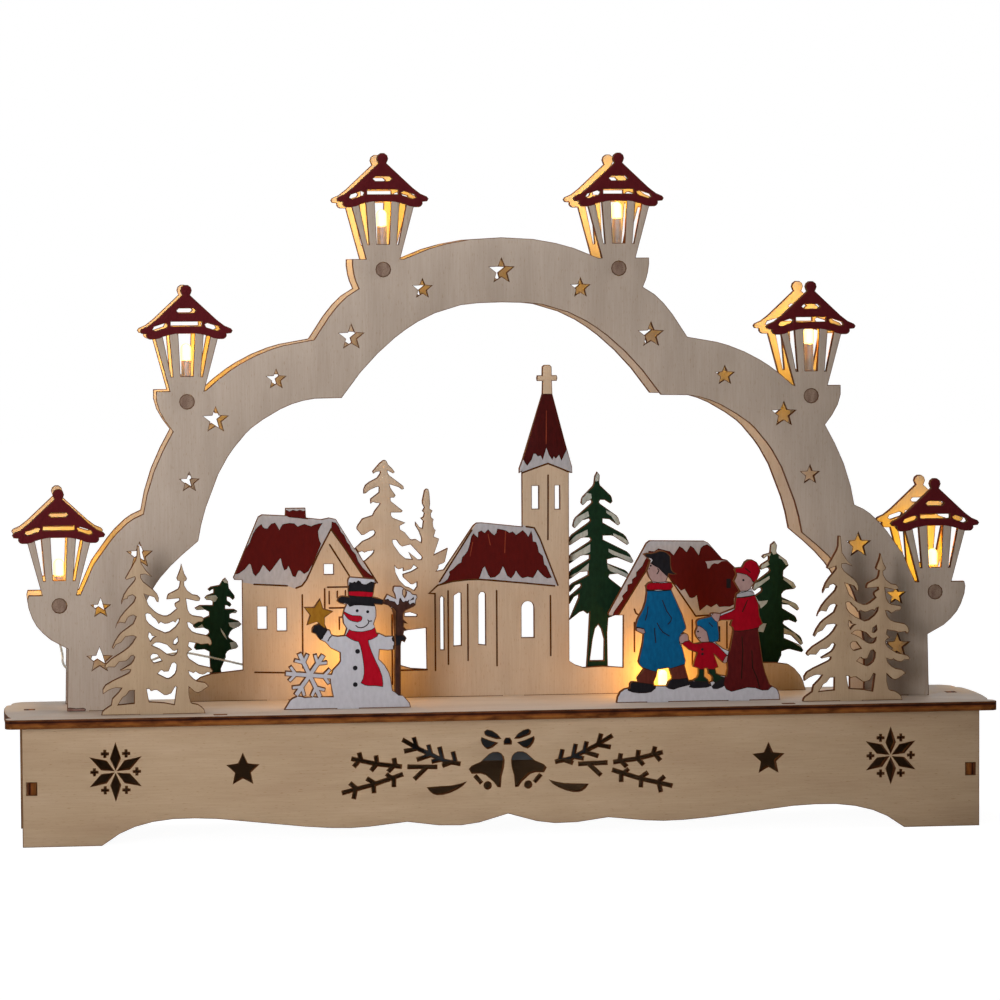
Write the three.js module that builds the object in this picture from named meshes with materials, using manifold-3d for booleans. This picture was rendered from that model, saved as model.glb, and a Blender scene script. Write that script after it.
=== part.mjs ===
import * as THREE from 'three';
import { mergeVertices } from 'three/addons/utils/BufferGeometryUtils.js';
import Module from 'manifold-3d';

// A battery lit light arch of laser cut birch plywood: a hollow base, two arch panels joined
// by dowels, six lanterns, and a village, trees, a snowman and a family that stand between them.
// Sizes are millimetres. X runs to the right, Y away from the viewer and Z up, and the origin is
// the middle of the base on the table. Outlines are drawn as seen from the front, as [x, z].

const wasm = await Module();
wasm.setup();

// Sizes of the base
const boardWidth = 430;
const boardDepth = 74;
const boardThickness = 4;
const boardCornerRadius = 3;
const boardCornerSteps = 4;
const baseThickness = 4;
const baseHeight = 51;
const frontWidth = 416;
const frontSetBack = 5;
const endSetIn = 2;
const cornerTabHeight = 5;
const cornerTabAt = 22.5;
const topTabWidth = 5;
const frontTopTabX = 123.5;
const endTopTabY = 4.5;
const woodFit = 0.15;

// Sizes of the upright panels and where they stand
const plyThickness = 3;
const archY = -6;
const archX = 1.8;
const archGap = 27;
const frontTreesX = 152.5;
const frontTreesY = -24;
const snowmanX = -67.5;
const snowmanY = -16.5;
const familyX = 86.5;
const familyY = -14.5;
const glueGap = 0.1;
const standTabWidth = 10;

// Sizes of the lanterns, measured from the dowel below each one
const dowelRadius = 3;
const dowelSides = 12;
const dowelStandOut = 0.2;
const shelfHeight = 4.6;
const bodyFootHalf = 7.4;
const roofUnderside = 29.3;
const knobHeight = 47.9;
const knobRadius = 2.5;
const roofSlotHeight = 1.95;

// Sizes of the lamps and wires
const wireRadius = 0.6;
const wireSides = 8;
const touch = 0.3;
const lensRadius = 2.3;
const lensLength = 7;
const socketRadius = 2.1;
const socketFoot = 5.3;
const villageSocketFoot = -2.5;
const lampHoleRadius = 2.6;
const wireHoleRadius = 2.5;
const holeSides = 12;

// Sizes of the battery box and what it holds
const cellRadius = 7.1;
const cellLength = 49.2;
const cellNubRadius = 2.7;
const cellNubLength = 1;
const cellPitch = 15;
const cellCount = 3;
const cellSegments = 16;
const springLength = 5.2;
const springFootRadius = 4.5;
const springTipRadius = 2.2;
const springSides = 10;
const plateThickness = 0.4;
const plateHeight = 11;
const plateWidth = 12;
const boxWall = 1.6;
const boxSideWall = 2.4;
const boxHeight = 19;
const boxY = 2;
const switchBayLength = 9;
const lidThickness = 1.4;
const lidLip = 1.2;
const lidTongue = 0.9;
const slideFit = 0.1;
const earLength = 8;
const earWidth = 10;
const earThickness = 2;
const screwRadius = 1.3;
const screwHeadRadius = 2.7;
const screwHeadHeight = 1.8;
const screwBite = 3.2;
const screwSides = 12;
const knobLength = 5;
const knobThickness = 3;
const knobTravel = 4;
const knobStandOut = 1.8;

// Places that follow from the sizes above
const boardTop = baseHeight + boardThickness;
const frontY = -boardDepth / 2 + frontSetBack;
const backY = -frontY - baseThickness;
const endX = frontWidth / 2 - endSetIn - baseThickness;
const archRearY = archY + plyThickness + archGap;
const villageY = archRearY;
const greenTreeY = villageY + plyThickness + glueGap;
const archBackFace = archY + plyThickness;
const wireY = archBackFace + touch + wireRadius;

// Materials, with the colours of the photograph
const paint = (color, roughness, metalness = 0) =>
  new THREE.MeshStandardMaterial({ color, roughness, metalness });
const birch = paint('#cdb79b', 0.75);
const birchFront = paint('#d8c3a6', 0.75);
const beech = paint('#9a7466', 0.7);
const pineGreen = paint('#12351f', 0.75);
const snowWhite = paint('#d9d6d6', 0.7);
const coatBlue = paint('#1b6f9c', 0.7);
const lensGlow = paint('#ffdf9a', 0.15);
const clearTube = paint('#e8e2d4', 0.3);
const wireClear = paint('#8f9188', 0.4);
const blackPlastic = paint('#1c1c1e', 0.5);
const cellBlue = paint('#2b4a86', 0.35, 0.4);
const springSteel = paint('#b9bcc0', 0.3, 1);

const root = new THREE.Group();

// Points on a circle, from one angle to another in degrees, both ends included
function arc(x, z, radius, from, to, count) {
  const points = [];
  for (let i = 0; i <= count; i += 1) {
    const angle = THREE.MathUtils.degToRad(from + ((to - from) * i) / count);
    points.push([x + radius * Math.cos(angle), z + radius * Math.sin(angle)]);
  }
  return points;
}

const shift = (points, x, z) => points.map(([px, pz]) => [px + x, pz + z]);
const mirror = (points) => points.map(([x, z]) => [-x, z]).reverse();

// Distance of a point from the line between two others
function offLine([x, z], [ax, az], [bx, bz]) {
  const length = Math.hypot(bx - ax, bz - az);
  if (length === 0) return Math.hypot(x - ax, z - az);
  return Math.abs((bx - ax) * (az - z) - (ax - x) * (bz - az)) / length;
}

// The same outline with fewer points: those that lie nearly on a line are left out
function thin(points, tolerance) {
  let far = 0;
  let at = 0;
  for (let i = 1; i < points.length - 1; i += 1) {
    const off = offLine(points[i], points[0], points[points.length - 1]);
    if (off > far) {
      far = off;
      at = i;
    }
  }
  if (far <= tolerance) return [points[0], points[points.length - 1]];
  return [...thin(points.slice(0, at + 1), tolerance).slice(0, -1), ...thin(points.slice(at), tolerance)];
}

// A smooth line through the points, which keeps a corner wherever the line turns sharply
const curveSteps = 4;
const curveTolerance = 0.2;
const sharpTurn = 58;
function flow(points) {
  const runs = [[points[0]]];
  for (let i = 1; i < points.length; i += 1) {
    const run = runs[runs.length - 1];
    run.push(points[i]);
    if (i === points.length - 1) break;
    const before = Math.atan2(points[i][1] - points[i - 1][1], points[i][0] - points[i - 1][0]);
    const after = Math.atan2(points[i + 1][1] - points[i][1], points[i + 1][0] - points[i][0]);
    const turn = Math.atan2(Math.sin(after - before), Math.cos(after - before));
    if (Math.abs(THREE.MathUtils.radToDeg(turn)) > sharpTurn) runs.push([points[i]]);
  }
  const line = runs.flatMap((run) => smooth(run).slice(0, -1));
  return [...line, points[points.length - 1]];
}

const closedFlow = (points) => flow([...points, points[0]]).slice(1);

// A smooth line through all the points, without corners
function smooth(points) {
  const curve = new THREE.SplineCurve(points.map(([x, z]) => new THREE.Vector2(x, z)));
  const line = curve.getPoints(curveSteps * (points.length - 1)).map((point) => [point.x, point.y]);
  return thin(line, curveTolerance);
}

// A closed outline as a flat plate that lies on the XY plane
function plate(outline, thickness) {
  const shape = new THREE.Shape(outline.map(([x, z]) => new THREE.Vector2(x, z)));
  return new THREE.ExtrudeGeometry(shape, { depth: thickness, bevelEnabled: false, steps: 1 });
}

// Adds a plate that stands upright, with its front face at the given Y
function stand(name, geometry, material, thickness, x, frontFace, z) {
  const mesh = new THREE.Mesh(geometry, material);
  mesh.name = name;
  mesh.rotation.x = Math.PI / 2;
  mesh.position.set(x, frontFace + thickness, z);
  root.add(mesh);
}

function place(name, geometry, material, x = 0, y = 0, z = 0) {
  const mesh = new THREE.Mesh(geometry, material);
  mesh.name = name;
  mesh.position.set(x, y, z);
  root.add(mesh);
}

// Joining and cutting
function toSolid(geometry) {
  const bare = new THREE.BufferGeometry();
  bare.setAttribute('position', geometry.getAttribute('position').clone());
  if (geometry.index) bare.setIndex(geometry.index.clone());
  const merged = mergeVertices(bare);
  return new wasm.Manifold(new wasm.Mesh({
    numProp: 3,
    vertProperties: new Float32Array(merged.getAttribute('position').array),
    triVerts: new Uint32Array(merged.index.array),
  }));
}

function toGeometry(solid) {
  const mesh = solid.getMesh();
  const geometry = new THREE.BufferGeometry();
  geometry.setAttribute('position', new THREE.BufferAttribute(new Float32Array(mesh.vertProperties), 3));
  geometry.setIndex(new THREE.BufferAttribute(new Uint32Array(mesh.triVerts), 1));
  geometry.computeVertexNormals();
  return geometry;
}

// A box given by its lowest and highest corner
function block(x0, x1, y0, y1, z0, z1) {
  const geometry = new THREE.BoxGeometry(x1 - x0, y1 - y0, z1 - z0);
  geometry.translate((x0 + x1) / 2, (y0 + y1) / 2, (z0 + z1) / 2);
  return toSolid(geometry);
}

// A round bar or hole along Z
function round(x, y, z0, z1, radius, sides = 20) {
  const geometry = new THREE.CylinderGeometry(radius, radius, z1 - z0, sides);
  geometry.rotateX(Math.PI / 2);
  geometry.translate(x, y, (z0 + z1) / 2);
  return toSolid(geometry);
}

// A turned piece about Z, from a profile of [radius, height] that starts and ends on the axis
function turned(profile, segments) {
  const geometry = new THREE.LatheGeometry(profile.map(([r, h]) => new THREE.Vector2(r, h)), segments);
  geometry.rotateX(Math.PI / 2);
  return geometry;
}

// A plate with openings, each cut with a margin on both faces
const cutMargin = 1;
function cutter(outline, thickness) {
  const geometry = plate(outline, thickness + 2 * cutMargin);
  geometry.translate(0, 0, -cutMargin);
  return geometry;
}

function pierced(outline, cuts, thickness) {
  let solid = toSolid(plate(outline, thickness));
  for (const cut of cuts) solid = solid.subtract(toSolid(cutter(cut, thickness)));
  return toGeometry(solid);
}

// A straight bar of one width between two points, a little longer so that bars which meet overlap
const strokeOverlap = 0.3;
function stroke([ax, az], [bx, bz], width) {
  const length = Math.hypot(bx - ax, bz - az);
  const ux = (bx - ax) / length;
  const uz = (bz - az) / length;
  const along = (x, z, aside, ahead) => [x - uz * aside + ux * ahead, z + ux * aside + uz * ahead];
  const half = width / 2;
  return [
    along(ax, az, -half, -strokeOverlap), along(bx, bz, -half, strokeOverlap),
    along(bx, bz, half, strokeOverlap), along(ax, az, half, -strokeOverlap),
  ];
}

// A star with straight points
const starPoints = 5;
function star(x, z, radius, innerShare, turnBy = 0) {
  const points = [];
  for (let i = 0; i < 2 * starPoints; i += 1) {
    const angle = Math.PI / 2 + THREE.MathUtils.degToRad(turnBy) + (Math.PI * i) / starPoints;
    const reach = i % 2 === 0 ? radius : radius * innerShare;
    points.push([x + reach * Math.cos(angle), z + reach * Math.sin(angle)]);
  }
  return points;
}

const rectangle = (x0, x1, z0, z1) => [[x0, z0], [x1, z0], [x1, z1], [x0, z1]];

// Each standing piece has tabs below its foot, which the slots in the board fit
const slots = [];
const footTab = (x, width) => [
  [x - width / 2, 0], [x - width / 2, -boardThickness],
  [x + width / 2, -boardThickness], [x + width / 2, 0],
];

function addSlot(x, width, frontFace, thickness) {
  slots.push({ x, width, y: frontFace + thickness / 2, depth: thickness });
}

function standTab(x, width, frontFace, thickness, pieceX) {
  addSlot(pieceX + x, width, frontFace, thickness);
  return footTab(x, width);
}

// Base: front and back panels with a waved lower edge
const waveEdge = [
  [0, 9.9], [5, 8.6], [11, 6.7], [17, 5.6], [24, 5.2], [32, 5.7], [40, 7], [45, 7.3], [52, 6.5], [60, 5.6],
  [68, 5.2], [80, 5.6], [95, 7], [110, 8.9], [122, 10.2], [135, 10.9], [147, 10.6], [158, 8.6], [167, 5],
  [174.5, 0],
];

function longPanelOutline() {
  const half = frontWidth / 2;
  const wave = smooth(waveEdge);
  const tab = (x) => [
    [x + topTabWidth / 2, baseHeight], [x + topTabWidth / 2, boardTop],
    [x - topTabWidth / 2, boardTop], [x - topTabWidth / 2, baseHeight],
  ];
  return [
    ...mirror(wave), ...wave.slice(1), [half, 0], [half, baseHeight],
    ...tab(frontTopTabX), ...tab(-frontTopTabX), [-half, baseHeight], [-half, 0],
  ];
}

function cornerTabHole(side) {
  const x0 = side > 0 ? endX : -endX - baseThickness;
  const z0 = cornerTabAt - woodFit;
  return rectangle(x0 - woodFit, x0 + baseThickness + woodFit, z0, z0 + cornerTabHeight + 2 * woodFit);
}

// Cut-outs of the front panel: a six pointed star with small plus signs round it
const snowStarX = 168.4;
const snowStarZ = 31.6;
const snowStarRadius = 12.3;
const bladeMiddle = 5.7;
const bladeHalfWidth = 2.1;
const bladeStart = 1;
const plusRing = 9;
const plusSpan = 3;
const plusWidth = 0.8;

function snowStarBlade(x, z, angle) {
  const turn = ([along, aside]) => [
    x + along * Math.cos(angle) - aside * Math.sin(angle),
    z + along * Math.sin(angle) + aside * Math.cos(angle),
  ];
  const blade = [
    [bladeStart, 0], [bladeMiddle, -bladeHalfWidth], [snowStarRadius, 0], [bladeMiddle, bladeHalfWidth],
  ];
  return blade.map(turn);
}

function plusSign(x, z) {
  const s = plusSpan / 2;
  const w = plusWidth / 2;
  return [
    [x - s, z - w], [x - w, z - w], [x - w, z - s], [x + w, z - s], [x + w, z - w], [x + s, z - w],
    [x + s, z + w], [x + w, z + w], [x + w, z + s], [x - w, z + s], [x - w, z + w], [x - s, z + w],
  ];
}

function snowStar(x, z) {
  const cuts = [];
  for (let i = 0; i < 6; i += 1) {
    const angle = (Math.PI / 3) * i;
    cuts.push(snowStarBlade(x, z, angle + Math.PI / 6));
    cuts.push(plusSign(x + plusRing * Math.cos(angle), z + plusRing * Math.sin(angle)));
  }
  return cuts;
}

// Cut-outs in the middle of the front panel, right half: a bell, half a bow, a leaf and twigs
const bell = [
  [1.6, 33], [2, 34.7], [3.4, 36.2], [5.4, 36.6], [7.6, 36.1], [9.4, 34.4], [11.2, 32.8], [13.2, 31.7],
  [15.6, 30.8], [16.7, 29.5], [16, 28], [15, 27.6], [12.4, 27.8], [10, 27.3], [8.4, 26], [5.9, 23.8],
  [4.4, 21.7], [3.3, 21.6], [3.2, 24], [2.8, 27], [1.9, 30], [1.6, 33],
];
const clapper = { x: 8.8, z: 22.3, radius: 1.6 };
const clapperBar = { from: [11.8, 23.7], to: [14, 26.3], width: 1.4 };
const bowUpper = [
  [3.1, 42.5], [4.6, 44.3], [6.9, 45.8], [8.9, 46.3], [10, 45.5], [9.7, 44.3], [7, 43.1], [4.4, 42.4],
  [3.1, 42.5],
];
const bowLower = [
  [4.5, 40.6], [7.4, 41.4], [9.9, 42.6], [11.3, 43], [11.5, 42], [10.6, 39.8], [8.7, 38.2], [6.7, 38.8],
  [4.5, 40.6],
];
const bowKnot = [[-1.5, 40], [-1.6, 41.2], [-0.8, 42.6], [0.8, 42.6], [1.6, 41.2], [1.5, 40]];
const leaf = [
  [18.1, 24.1], [20.4, 23.2], [24.4, 22.4], [30.4, 22], [34.8, 21.9], [33.4, 20], [30.9, 18.8], [27.4, 19],
  [22.9, 20.6], [19.6, 22.6], [18.1, 24.1],
];
const twigWidth = 1.6;
const twigs = [
  [[31.1, 30.8], [43, 31.1]], [[35.6, 30.4], [40.2, 26]],
  [[21, 32], [27.4, 33.2], [33.4, 36.2], [38.4, 38.6], [45.2, 42.6]],
  [[22.7, 32.5], [23.7, 36.8]], [[28.4, 34], [29.5, 39]], [[33.4, 36.5], [34.3, 40]],
  [[39.4, 39], [40.6, 43.3]], [[24.4, 32.7], [28, 31.4]], [[28.9, 34], [32.6, 33.2]],
  [[33.4, 36], [39, 34.2]], [[39.9, 38.7], [44.4, 37.9]], [[46.4, 31.3], [56.4, 32.5], [67.2, 35]],
  [[48.7, 31.5], [49.2, 34.5]], [[56.6, 32.6], [57, 35.8]], [[63.4, 34], [64.2, 37.2]],
  [[49.4, 31.6], [51.6, 29.4]], [[56.9, 32.4], [58.9, 30.1]], [[64.4, 34.2], [66.3, 31.9]],
  [[45.9, 27.8], [57.4, 24], [71.4, 20.5]],
  [[50.4, 26.3], [52.2, 28]], [[57.4, 24], [60.7, 26.2]], [[65.4, 22], [68, 24.3]],
  [[49.4, 26.6], [49.4, 23]], [[58.2, 23.7], [58, 20.5]], [[65.9, 21.9], [66.7, 18.2]],
];
const plainStar = { x: 114.2, z: 31.2, radius: 7, inner: 0.47 };
const clapperSides = 14;

function middleCuts() {
  const half = [
    flow(bell), flow(bowUpper), flow(bowLower), flow(leaf),
    arc(clapper.x, clapper.z, clapper.radius, 0, 360 - 360 / clapperSides, clapperSides - 1),
    stroke(clapperBar.from, clapperBar.to, clapperBar.width),
    star(plainStar.x, plainStar.z, plainStar.radius, plainStar.inner),
    ...snowStar(snowStarX, snowStarZ),
  ];
  for (const twig of twigs) {
    for (let i = 1; i < twig.length; i += 1) half.push(stroke(twig[i - 1], twig[i], twigWidth));
  }
  return [...half, ...half.map(mirror), bowKnot];
}

function addLongPanels() {
  const holes = [cornerTabHole(-1), cornerTabHole(1)];
  const front = pierced(longPanelOutline(), [...holes, ...middleCuts()], baseThickness);
  stand('base_front_panel', front, birchFront, baseThickness, 0, frontY, 0);
  const back = pierced(longPanelOutline(), holes, baseThickness);
  stand('base_back_panel', back, birch, baseThickness, 0, backY, 0);
}

// The end panels are drawn as [y, z], with tabs through the front and back panels and the board
function addEndPanels() {
  const near = frontY + baseThickness;
  const far = backY;
  const z0 = cornerTabAt;
  const z1 = cornerTabAt + cornerTabHeight;
  const outline = [
    [near, 0], [far, 0], [far, z0], [far + baseThickness, z0], [far + baseThickness, z1], [far, z1],
    [far, baseHeight], [endTopTabY + topTabWidth / 2, baseHeight], [endTopTabY + topTabWidth / 2, boardTop],
    [endTopTabY - topTabWidth / 2, boardTop], [endTopTabY - topTabWidth / 2, baseHeight],
    [near, baseHeight], [near, z1], [near - baseThickness, z1], [near - baseThickness, z0], [near, z0],
  ];
  for (const [name, x] of [['base_end_panel_left', -endX - baseThickness], ['base_end_panel_right', endX]]) {
    const geometry = plate(outline, baseThickness);
    geometry.rotateX(Math.PI / 2);
    geometry.rotateZ(Math.PI / 2);
    place(name, geometry, birch, x, 0, 0);
  }
}

// Arch, right half: the band's outer edge between the lanterns, and its inner edge.
// Places are measured from the arch's middle and the top of the board.
const lanterns = [
  {
    x: 192.6,
    z: 45.7,
    bracket: [[-3.4, -18.7], [3.9, -14.7], [9.9, -8.7], [12.9, -2.2], [13.7, 2.5], [13.2, shelfHeight]],
  },
  { x: 136.9, z: 133, bracket: [[6.2, -12.8], [9.4, -8.5], [11.9, -4], [13.2, 0.5], [13.2, shelfHeight]] },
  { x: 51.6, z: 189.4, bracket: [[10.6, -8.2], [12, -4.9], [13, -0.9], [13.4, 2.6], [13.3, shelfHeight]] },
];
const footOuter = 189.8;
const footInner = 160.6;
const outerLower = [
  [183.6, 50.3], [181.6, 55], [178, 63], [173.6, 69.3], [167.8, 76.6], [161.8, 82], [156.2, 84.8],
];
const outerMiddle = [[156.2, 84.8], [154.6, 93], [151.5, 103], [147.5, 112]];
const outerUpper = [[128.5, 138], [121.8, 143.8], [113.8, 149.2], [104.8, 153.7], [94.8, 157], [81.8, 159.3]];
const outerShoulder = [[81.8, 159.3], [77.8, 165.6], [72.6, 172.7], [67.3, 178]];
const outerTop = [[42.6, 193.9], [35.8, 196.8], [26.8, 199.8], [13.8, 202.3], [0, 203.1]];
const innerTop = [
  [0, 174.9], [13.8, 174.4], [21.8, 172.8], [31.8, 169.3], [41.8, 163.5], [51.8, 155.5], [61.8, 145],
  [70.1, 134],
];
const innerMiddle = [
  [70.1, 134], [81.8, 133.8], [91.8, 131.5], [101.8, 126.5], [111.8, 119], [121.8, 105.5], [128.3, 90],
  [131.3, 80], [132.7, 72.8],
];
const innerLower = [[132.7, 72.8], [139.8, 66.8], [146.3, 60.5], [152.1, 53], [157.6, 41], [footInner, 24]];
const footTabX = 184.8;
const footTabWidth = 9;

// Outline of one lantern from the foot of its right side over the roof to its left foot
const roofEdge = [
  [13.4, 26.9], [15.8, 26.9], [17.2, 27.8], [17.3, 29.2], [19.3, 29.4], [19.95, 30.5], [19.2, 31.5],
  [16.4, 32.7], [12, 36.2], [8, 40.2], [4, 43.8], [1.7, 45.9],
];
const knobStart = -38;
const knobSteps = 7;
function lanternOutline() {
  const side = [[bodyFootHalf, shelfHeight], ...flow(roofEdge)];
  return [...side, ...arc(0, knobHeight, knobRadius, knobStart, 180 - knobStart, knobSteps), ...mirror(side)];
}

// Windows of one lantern: a tall one, two narrow ones and four slots in the roof
const tallWindow = [[-2.7, 11], [2.7, 11], [3.5, roofUnderside], [-3.5, roofUnderside]];
const narrowWindow = [[6, 10.8], [6.7, 10.8], [10.2, 28], [7.4, 28.8]];
const slotEndSteps = 2;
function roofSlot(x, z, length, tilt, roundEnds) {
  const r = roofSlotHeight / 2;
  const reach = length / 2 - (roundEnds ? r : 0);
  const ends = roundEnds
    ? [...arc(reach, 0, r, -90, 90, slotEndSteps), ...arc(-reach, 0, r, 90, 270, slotEndSteps)]
    : rectangle(-reach, reach, -r, r);
  const angle = THREE.MathUtils.degToRad(tilt);
  return ends.map(([px, pz]) => [
    x + px * Math.cos(angle) - pz * Math.sin(angle), z + px * Math.sin(angle) + pz * Math.cos(angle),
  ]);
}

function lanternWindows() {
  const sideSlot = roofSlot(11.2, 32.2, 6.9, -18, true);
  return [
    tallWindow, narrowWindow, mirror(narrowWindow),
    roofSlot(0, 39.2, 8.3, 0, true), roofSlot(0, 33.5, 13.4, 0, false), sideSlot, mirror(sideSlot),
  ];
}

function archHalf() {
  const [low, middle, high] = lanterns;
  const lantern = lanternOutline();
  const lanternAt = ({ x, z }) => shift(lantern, x, z);
  const bracketOf = ({ x, z, bracket }) => smooth(shift(bracket, x, z));
  const cusp = ({ x, z, bracket }) => [x + bracket[0][0], z + bracket[0][1]];
  return [
    ...footTab(footTabX, footTabWidth),
    [footOuter, 0], ...bracketOf(low), ...lanternAt(low),
    ...smooth(outerLower),
    ...smooth([...outerMiddle, cusp(middle)]).slice(1), ...bracketOf(middle).slice(1), ...lanternAt(middle),
    ...smooth(outerUpper),
    ...smooth([...outerShoulder, cusp(high)]).slice(1), ...bracketOf(high).slice(1), ...lanternAt(high),
    ...smooth(outerTop),
  ];
}

function archOutline() {
  const outer = archHalf();
  const inner = [
    ...smooth(innerTop), ...smooth(innerMiddle).slice(1), ...smooth(innerLower).slice(1), [footInner, 0],
  ];
  return [...outer, ...mirror(outer).slice(1), ...mirror(inner), ...inner.slice(1)];
}

// Stars cut through both arch panels, right half and middle, as x, z and radius
const archStars = [
  [34.6, 181, 4.3], [65.7, 160.3, 5.6], [98.4, 142.3, 4.3], [124.7, 125, 5.6], [136.3, 98.3, 4.3],
  [158, 67, 5.6], [175, 44.5, 4.3], [175.7, 22, 5.6],
];
const middleStar = [0, 188.5, 5.6];
const archStarInner = 0.42;

function archHoles() {
  const holes = [star(...middleStar, archStarInner)];
  for (const [x, z, radius] of archStars) {
    holes.push(star(x, z, radius, archStarInner), star(-x, z, radius, archStarInner));
  }
  const windows = lanternWindows();
  const dowelHole = arc(0, 0, dowelRadius + woodFit, 0, 360 - 360 / dowelSides, dowelSides - 1);
  for (const { x, z } of lanterns) {
    for (const hole of [...windows, dowelHole]) holes.push(shift(hole, x, z), shift(hole, -x, z));
  }
  return holes;
}

function addArch() {
  for (const face of [archY, archRearY]) {
    for (const side of [-1, 1]) addSlot(archX + side * footTabX, footTabWidth, face, plyThickness);
  }
  const geometry = pierced(archOutline(), archHoles(), plyThickness);
  stand('arch_front_panel', geometry, birchFront, plyThickness, archX, archY, boardTop);
  stand('arch_rear_panel', geometry.clone(), birch, plyThickness, archX, archRearY, boardTop);
}

// Lanterns and what belongs to them are numbered from left to right
const lanternPlaces = [
  ...lanterns.map(({ x, z }) => [archX - x, boardTop + z]),
  ...[...lanterns].reverse().map(({ x, z }) => [archX + x, boardTop + z]),
];

function addDowels() {
  const length = archGap + 2 * plyThickness + 2 * dowelStandOut;
  lanternPlaces.forEach(([x, z], i) => {
    const geometry = new THREE.CylinderGeometry(dowelRadius, dowelRadius, length, dowelSides);
    place(`arch_dowel_${i + 1}`, geometry, beech, x, archY - dowelStandOut + length / 2, z);
  });
}

// Village panel: a hill, a house, two pines, a church with a tower and a second house
const houseLeft = [
  [-110.2, 13.6], [-110.2, 53.3], [-113.6, 53.4], [-114.1, 54.4], [-102.9, 81.1], [-101.2, 82.1], [-91, 81.5],
  [-90.8, 84.8], [-82, 84.8], [-81.7, 80.4], [-75, 79.6], [-71.5, 80.3], [-68.5, 79.6], [-60.4, 66.4],
];
const pineLarge = [
  [-60.4, 66.4], [-58.9, 67.6], [-56.8, 69.7], [-53.9, 70.9], [-51.8, 72.2], [-51.2, 73.4], [-51.8, 74.5],
  [-53.5, 74.2], [-54.8, 73.4], [-56, 72.6], [-57.2, 72.4], [-58.1, 73.8], [-59.2, 74.8], [-59.3, 75.9],
  [-58.1, 78], [-56.8, 79.7], [-54.8, 80.5], [-52.3, 81.1], [-51.4, 83], [-49.1, 85.9], [-49.3, 86.5],
  [-50.6, 86.5], [-52.2, 87], [-53.1, 86.2], [-53.3, 88], [-52.3, 89.2], [-49.4, 91.2], [-49.3, 93.4],
  [-50.2, 93.7], [-53.5, 92.3], [-55.2, 90.9], [-56.2, 90.7], [-56.2, 92.6], [-54.8, 95.1], [-50.2, 97.6],
  [-48.8, 99.7], [-48.9, 100.5], [-50.6, 100.3], [-51.8, 99.5], [-52.2, 100.5], [-50.6, 102.6],
  [-47.5, 105.3], [-46, 105.1], [-45.2, 103.4], [-43.5, 101.8], [-42.3, 100.1], [-43.1, 99.5],
  [-44.3, 100.3], [-45.6, 100.9], [-45.2, 99.2], [-43.1, 97.2], [-38.9, 94.2], [-38.3, 92.6],
  [-39.2, 92.3], [-40.6, 93.4], [-42.2, 93.8], [-44.7, 94.7], [-44.2, 93], [-42, 89.8], [-42.7, 88.8],
  [-44.3, 88.8], [-44.2, 87.3], [-41.8, 85.5], [-38.9, 83], [-39.8, 82.2], [-44.2, 82.2], [-43.9, 80.5],
  [-42.2, 79.2], [-37.7, 77.6], [-38.9, 77], [-40.3, 76.3], [-40.2, 74.7], [-38.1, 73.4], [-36.8, 71.7],
  [-35.2, 70.1], [-33.1, 70.3], [-30.8, 68.8],
];
const pineSmall = [
  [-30.8, 68.8], [-30.6, 70.5], [-31.8, 73.8], [-33.3, 76.3], [-33.3, 78], [-31.4, 75.5], [-30.2, 75.1],
  [-29.8, 78.2], [-31, 79.5], [-29.8, 80.1], [-29.3, 81.8], [-30.2, 82.6], [-29.3, 84.2], [-30.3, 86.5],
  [-29.5, 89.7], [-29.2, 91.8], [-28.3, 92.6], [-27.2, 91.8], [-26.7, 86], [-27, 83.8], [-25.6, 82.8],
  [-26.4, 81.5], [-26.2, 79.8], [-25.2, 79], [-25.6, 77.6], [-25.2, 75.1], [-24.3, 74.2], [-25.2, 71.3],
  [-22.8, 70.3], [-23.7, 67.6], [-25.2, 63.2], [-23.9, 63.7], [-18.9, 66.2], [-19.2, 64.7], [-20.3, 60.1],
  [-23.1, 58.7], [-23.2, 57.2], [-24.3, 55.9], [-20.8, 56.6],
];
const church = [
  [-20.8, 56.6], [-7.6, 76], [-6, 77.2], [-3.5, 77.2], [14.3, 75.2], [14.3, 99.8], [13.1, 98.9], [13.1, 101],
  [14.6, 105], [23.6, 134], [23.8, 139.7], [21.4, 139.7], [21.2, 141], [21.5, 142.2], [23.6, 142.2],
  [23.7, 146], [24.6, 146.8], [27, 146.8], [27.8, 146], [27.9, 142.2], [30.1, 142.2], [30.4, 141],
  [30.1, 139.7], [27.9, 139.7], [28.1, 134], [33.6, 113], [36.8, 101.5], [36.9, 98.7], [35.3, 98.9],
  [35.2, 15],
];
const houseRight = [
  [59.4, 11.7], [59.6, 35], [53, 35], [52.8, 36], [70, 67], [71.6, 68.2], [96.4, 67.7], [98, 66.9],
  [104.4, 59.6], [106.6, 59], [110, 55.8], [117.5, 38], [117.2, 35], [115, 34.8], [115, 13],
];
const hillLeft = [[-136, 0], [-134.4, 5.5], [-130, 10], [-124, 12.2], [-110.2, 13.6]];
const hillMiddle = [[35.2, 15], [38, 13.2], [41.5, 12], [46, 12.3], [52, 12.4], [59.4, 11.7]];
const hillRight = [[115, 13], [124, 12.8], [133, 12.2], [137, 10], [140.5, 5.5], [142.2, 0]];
const gateGap = [[-41, 30], [-38.6, 29.8], [-28.8, 30.8], [-28.6, 12.5], [-35.5, 13], [-41, 14.6]];
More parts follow.
